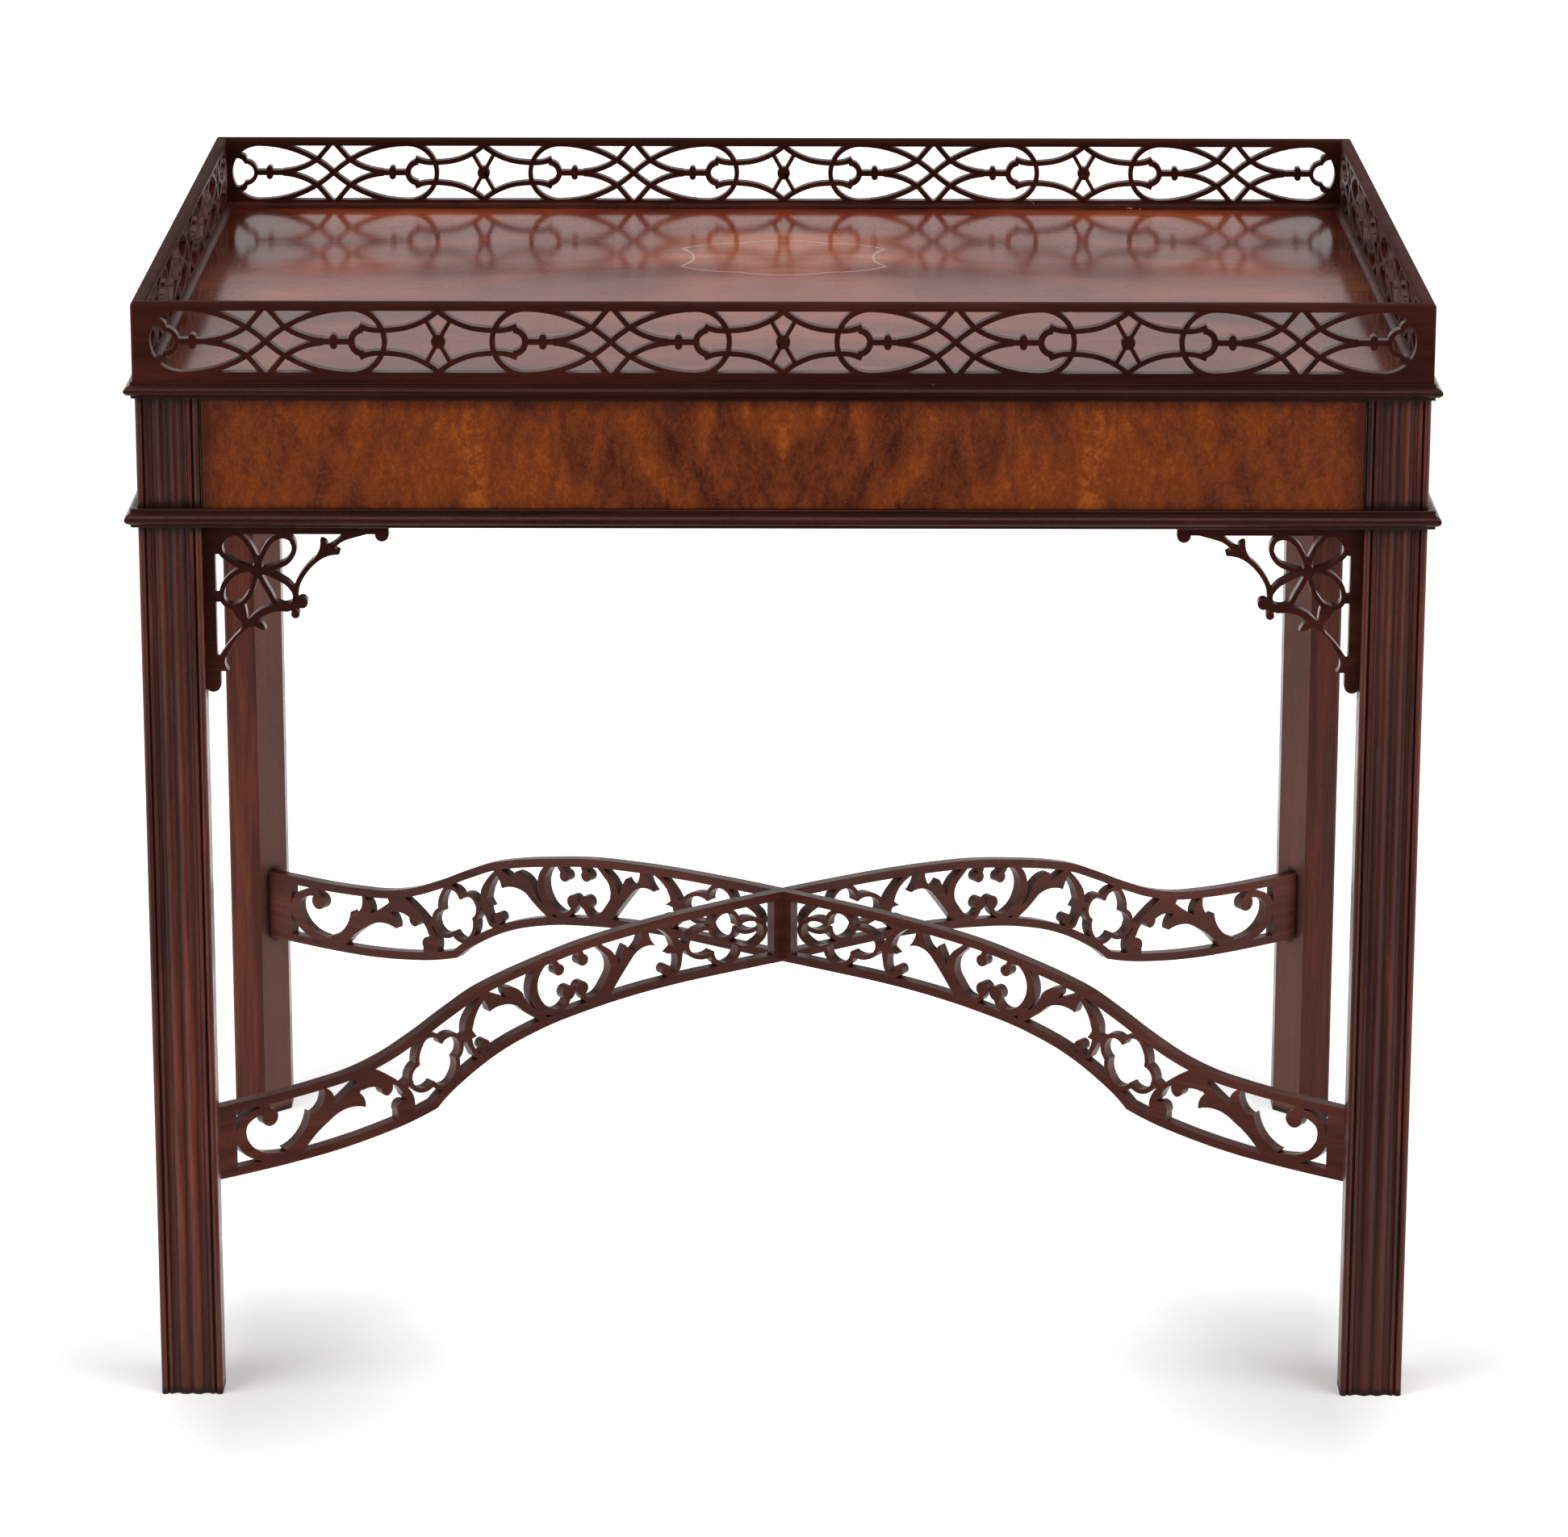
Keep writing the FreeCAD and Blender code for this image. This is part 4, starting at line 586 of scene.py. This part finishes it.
def frieze_tone(graph, book, half, up, mottle, crinkle):
    """The frieze's figure: mottled clouds, flames at the seam, a bright stripe and a plume."""
    cloud = graph.layer(book, *FRIEZE_CLOUD)
    warp = graph.layer(book, *FRIEZE_WARP)
    # flames rise from the seam and lean outwards
    lean = graph.total((half, 1.0), (up, -0.42), (warp, 0.06))
    flame = graph.joined(lean, 0.0, graph.times(up, 0.2))
    flame = graph.minus(graph.noise(flame, FLAME_SCALE, 4.0, 0.55), 0.5)
    flame = graph.times(flame, graph.levels(half, 0.03, 0.12, 1.0, 0.12, smooth=True))
    # one flecked bright stripe in each half, and a fainter plume between it and the seam
    swayed = graph.plus(half, graph.times(graph.minus(warp, 0.5), 0.05))
    stripe = graph.band(swayed, STRIPE_PLACE, STRIPE_WIDTH)
    fleck = graph.levels(graph.layer(book, *FRIEZE_FLECK), 0.42, 0.62)
    stripe = graph.times(stripe, fleck)
    slope = graph.times(graph.minus(up, FRIEZE_MIDDLE), 0.45)
    plume = graph.band(graph.minus(swayed, slope), PLUME_PLACE, PLUME_WIDTH)
    tone = graph.total((cloud, 0.40), (mottle, 0.38), (crinkle, 0.26), (flame, 0.48),
                       (stripe, 0.13), (plume, 0.05))
    return graph.levels(tone, 0.39, 0.69)


def rim_and_shadow_line(graph, colour, side, half, up, mottle):
    """The colour darker in a rim along the ends, foot and head, with a painted shadow line along
    foot and head.
    """
    low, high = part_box("frieze_veneer_" + side)
    from_end = graph.minus(high.x if side in ("front", "back") else high.y, half)
    from_foot = graph.minus(up, low.z)
    from_head = graph.minus(high.z, up)
    rim = graph.smaller(graph.times(from_foot, 0.75), graph.plus(from_head, 3.0 * MM))
    rim = graph.smaller(from_end, rim)
    rim = graph.plus(rim, graph.times(graph.minus(mottle, 0.5), 0.014))
    rim = graph.levels(rim, *RIM_FADES, 0.70, 0.0, smooth=True)
    # painted shadow line where the mouldings meet the veneer
    line = graph.levels(graph.smaller(from_foot, from_head), *LINE_FADES, 0.85, 0.0)
    return graph.mixed(line, graph.mixed(rim, colour, FRIEZE_RIM), FRIEZE_SHADOW_LINE)


def frieze_veneer(name, side, turn):
    """Mottled, book-matched mahogany with darker edges, a painted shadow line along foot and
    head, and flames at the middle seam.
    """
    graph = Graph(name)
    place = graph.place()
    along, _, up = graph.split(graph.turned(place, turn))
    half = graph.absolute(along)
    book = graph.joined(half, 0.0, up)
    mottle = graph.layer(book, *FRIEZE_MOTTLE)
    crinkle = graph.layer(book, *FRIEZE_CRINKLE)
    colour = graph.ramp(frieze_tone(graph, book, half, up, mottle, crinkle), FRIEZE_STOPS)
    pores = graph.levels(graph.layer(book, *FRIEZE_PORES), *PORE_LEVELS)
    colour = graph.mixed(graph.times(pores, 0.30), colour, FRIEZE_PORE)
    # where the polish has aged, it is finely cracked like leather
    cells = graph.add("ShaderNodeTexVoronoi", {
        "Vector": graph.turned(book, (0, 0.3, 0), (150, 1, 110))}, feature="DISTANCE_TO_EDGE")
    aged = graph.levels(graph.layer(place, *FRIEZE_AGED), 0.56, 0.70)
    crack = graph.times(graph.levels(cells.outputs["Distance"], 0.0, 0.07, 0.6, 0.0), aged)
    colour = graph.mixed(crack, colour, FRIEZE_CRACK)
    colour = rim_and_shadow_line(graph, colour, side, half, up, mottle)
    roughness = graph.smudged(place, 30.0, *FRIEZE_ROUGHNESS)
    height = graph.total((crinkle, 2.0), (pores, -1.0), (crack, -2.0))
    normal = graph.bump(height, FRIEZE_GRAIN_DEPTH)
    normal = graph.bump(graph.layer(place, *FRIEZE_RIPPLE), FRIEZE_RIPPLE_DEPTH, 0.5, normal)
    return graph.shade(colour, roughness, normal, Specular_IOR_Level=0.18,
                       Specular_Tint=WARM_SHEEN)


def top_tone(graph, place, book, half, across):
    """The top's figure: feathers, clouds and streaks, darker in front, with a bright flare."""
    warp = graph.layer(book, *TOP_WARP)
    # long feathers run outwards from the seam and bend towards the front
    run = graph.total((across, 1.0), (half, 0.30), (warp, 0.20))
    feather = graph.noise(graph.joined(graph.times(half, 0.30), run, 0.0), FEATHER_SCALE)
    cloud = graph.layer(book, *TOP_CLOUD)
    streak = graph.layer(book, *TOP_STREAK)
    tone = graph.total((feather, 0.48), (cloud, 0.38), (streak, 0.14))
    tone = graph.levels(tone, 0.35, 0.65)
    tone = graph.plus(tone, graph.levels(across, -0.26, 0.04, -0.16, 0.0))
    away = graph.vector_math("DISTANCE", place, FLARE)
    flare = graph.minus(1.0, graph.levels(away, *FLARE_REACH, smooth=True))
    return graph.plus(tone, graph.times(graph.times(flare, cloud), 0.6))


def hairs(graph, place, angle):
    """Sparse hair-thin scratches that run at the given angle to X."""
    along, across, _ = graph.split(graph.turned(place, (0, 0, angle)))
    across = graph.plus(across, graph.times(graph.noise(place, 5.0), 0.03))
    lay = graph.joined(graph.times(along, 9.0), graph.times(across, 420.0), 0.0)
    thin = graph.levels(graph.noise(lay, 1.0, 1.0), 0.74, 0.78)
    return graph.times(thin, graph.patches(place, *HAIR_AREAS))


def top_veneer(name):
    """Flame mahogany, two leaves mirrored about the middle seam, under an old polish."""
    graph = Graph(name)
    place = graph.place()
    along, across, _ = graph.split(place)
    half = graph.absolute(along)
    book = graph.joined(half, across, 0.0)
    colour = graph.ramp(top_tone(graph, place, book, half, across), TOP_STOPS)
    pores = graph.levels(graph.layer(book, *TOP_PORES), *TOP_PORE_LEVELS)
    colour = graph.mixed(graph.times(pores, 0.35), colour, TOP_PORE)
    # painted shade, with dirt, darkens the top along the cove strips, and the top is darker
    # towards its ends
    shade_and_dirt = graph.levels(graph.openness(TOP_REACH, samples=6), 0.45, 0.95, 0.7, 0.0)
    end = graph.levels(graph.minus(TOP_END, half), 0.01, 0.09, 0.6, 0.0, smooth=True)
    colour = graph.mixed(graph.larger(shade_and_dirt, end), colour, TOP_SHADE_AND_DARK_END)
    # a few fine scratches in two directions show as pale hairs
    scratch = graph.larger(*(hairs(graph, place, angle) for angle in HAIR_ANGLES))
    colour = graph.mixed(graph.times(scratch, 0.6), colour, TOP_HAIR)
    roughness = graph.smudged(place, 22.0, *TOP_ROUGHNESS, distortion=0.5)
    roughness = graph.plus(roughness, graph.times(scratch, 0.2))
    normal = graph.bump(graph.noise(place, 9.0), TOP_RIPPLE_DEPTH, 0.5)
    normal = graph.bump(graph.times(pores, -1.0), TOP_PORE_DEPTH, 1.0, normal)
    return graph.shade(colour, roughness, normal, Specular_IOR_Level=0.045,
                       Specular_Tint=TOP_SHEEN)


# Inlay and screws


def light_inlay(name):
    """A line of pale wood, yellowed under the polish."""
    graph = Graph(name)
    place = graph.place()
    grain = graph.layer(place, *INLAY_GRAIN)
    roughness = graph.smudged(place, 40.0, *INLAY_ROUGHNESS, detail=3.0, distortion=0.0)
    return graph.shade(graph.ramp(grain, INLAY_STOPS), roughness,
                       graph.bump(grain, INLAY_DEPTH), Coat_Weight=0.5, Coat_Roughness=0.12)


def screw_steel(name):
    """Dull steel with brown stains."""
    graph = Graph(name)
    stain = graph.noise(graph.place(), 420.0, 4.0, 0.6)
    roughness = graph.levels(stain, 0.3, 0.7, 0.62, 0.36)
    return graph.shade(graph.ramp(stain, STEEL_STOPS), roughness,
                       graph.bump(stain, STEEL_DEPTH), Metallic=0.9)


# Every piece gets its material


def dress_sides():
    """The plain pieces along the four sides."""
    for prefix, tones, gloss, specular, hollows in SIDE_PIECES:
        for run, turn, faces, sides in SIDE_RUNS:
            material = wood(
                f"{prefix}wood_along_{run}", turn, tones, gloss=gloss, specular=specular,
                hollows=hollows, skin=RAIL_SKINS[run] if prefix == "frieze_rail_" else None,
                dull_above=WORN_TOP if prefix == "gallery_" else None,
                flat=faces if prefix in FRETTED else None)
            for side in sides:
                dress(prefix + side, material)


def dress_stretcher():
    """The two stretcher boards, each with the grain along it."""
    for label, angle in (("stretcher_rising_right", ARM_ANGLE),
                         ("stretcher_falling_right", -ARM_ANGLE)):
        faces = (-math.sin(angle), math.cos(angle), 0.0)
        dress(label, wood(label + "_wood", (0.0, 0.0, -angle), FRET_TONES,
                          specular=LOW_SPECULAR, flat=faces))


def make_materials():
    dress("leg_", wood("leg_wood", ALONG_Z, LEG_TONES, figure=1.3, hollows=0.95, chamfer=True))
    dress_sides()
    dress_stretcher()
    dress("corner_block_", wood("block_wood", ALONG_Z, RAW_TONES, gloss=0.7))
    dress("top_board", wood("board_wood", ALONG_X, DARK_TONES, gloss=0.6))
    for _, turn, _, sides in SIDE_RUNS:
        for side in sides:
            label = "frieze_veneer_" + side
            dress(label, frieze_veneer(label + "_figure", side, turn))
    dress("top_veneer_", top_veneer("top_veneer_figure"))
    dress("top_inlay", light_inlay("inlay_line"))
    dress("top_screws", screw_steel("screw_dull_steel"))


# Edges


def ease_edges():
    """Every arris but the top veneer's and the inlay's is slightly rounded, and curved walls
    shade smoothly; the top veneer and inlay shade flat.
    """
    for name, node in NODES.items():
        mesh = node.data
        custom = mesh.attributes.get("custom_normal")
        if custom:
            mesh.attributes.remove(custom)
        mesh.shade_smooth()
        if name.startswith(("top_veneer", "top_inlay")):
            mesh.shade_flat()
            continue
        weld = node.modifiers.new("weld", "WELD")
        weld.merge_threshold = SAME_POINT
        bevel = node.modifiers.new("eased", "BEVEL")
        bevel.width = FRET_EDGE if name.startswith(FRETTED) else EASED_EDGE
        bevel.segments = 2
        bevel.limit_method = "ANGLE"
        bevel.angle_limit = EDGE_ANGLE
        bevel.use_clamp_overlap = False
        bevel.harden_normals = True


bpy.context.scene.view_settings.view_transform = "Standard"
make_camera()
make_floor()
make_world()
make_lights()
make_materials()
ease_edges()
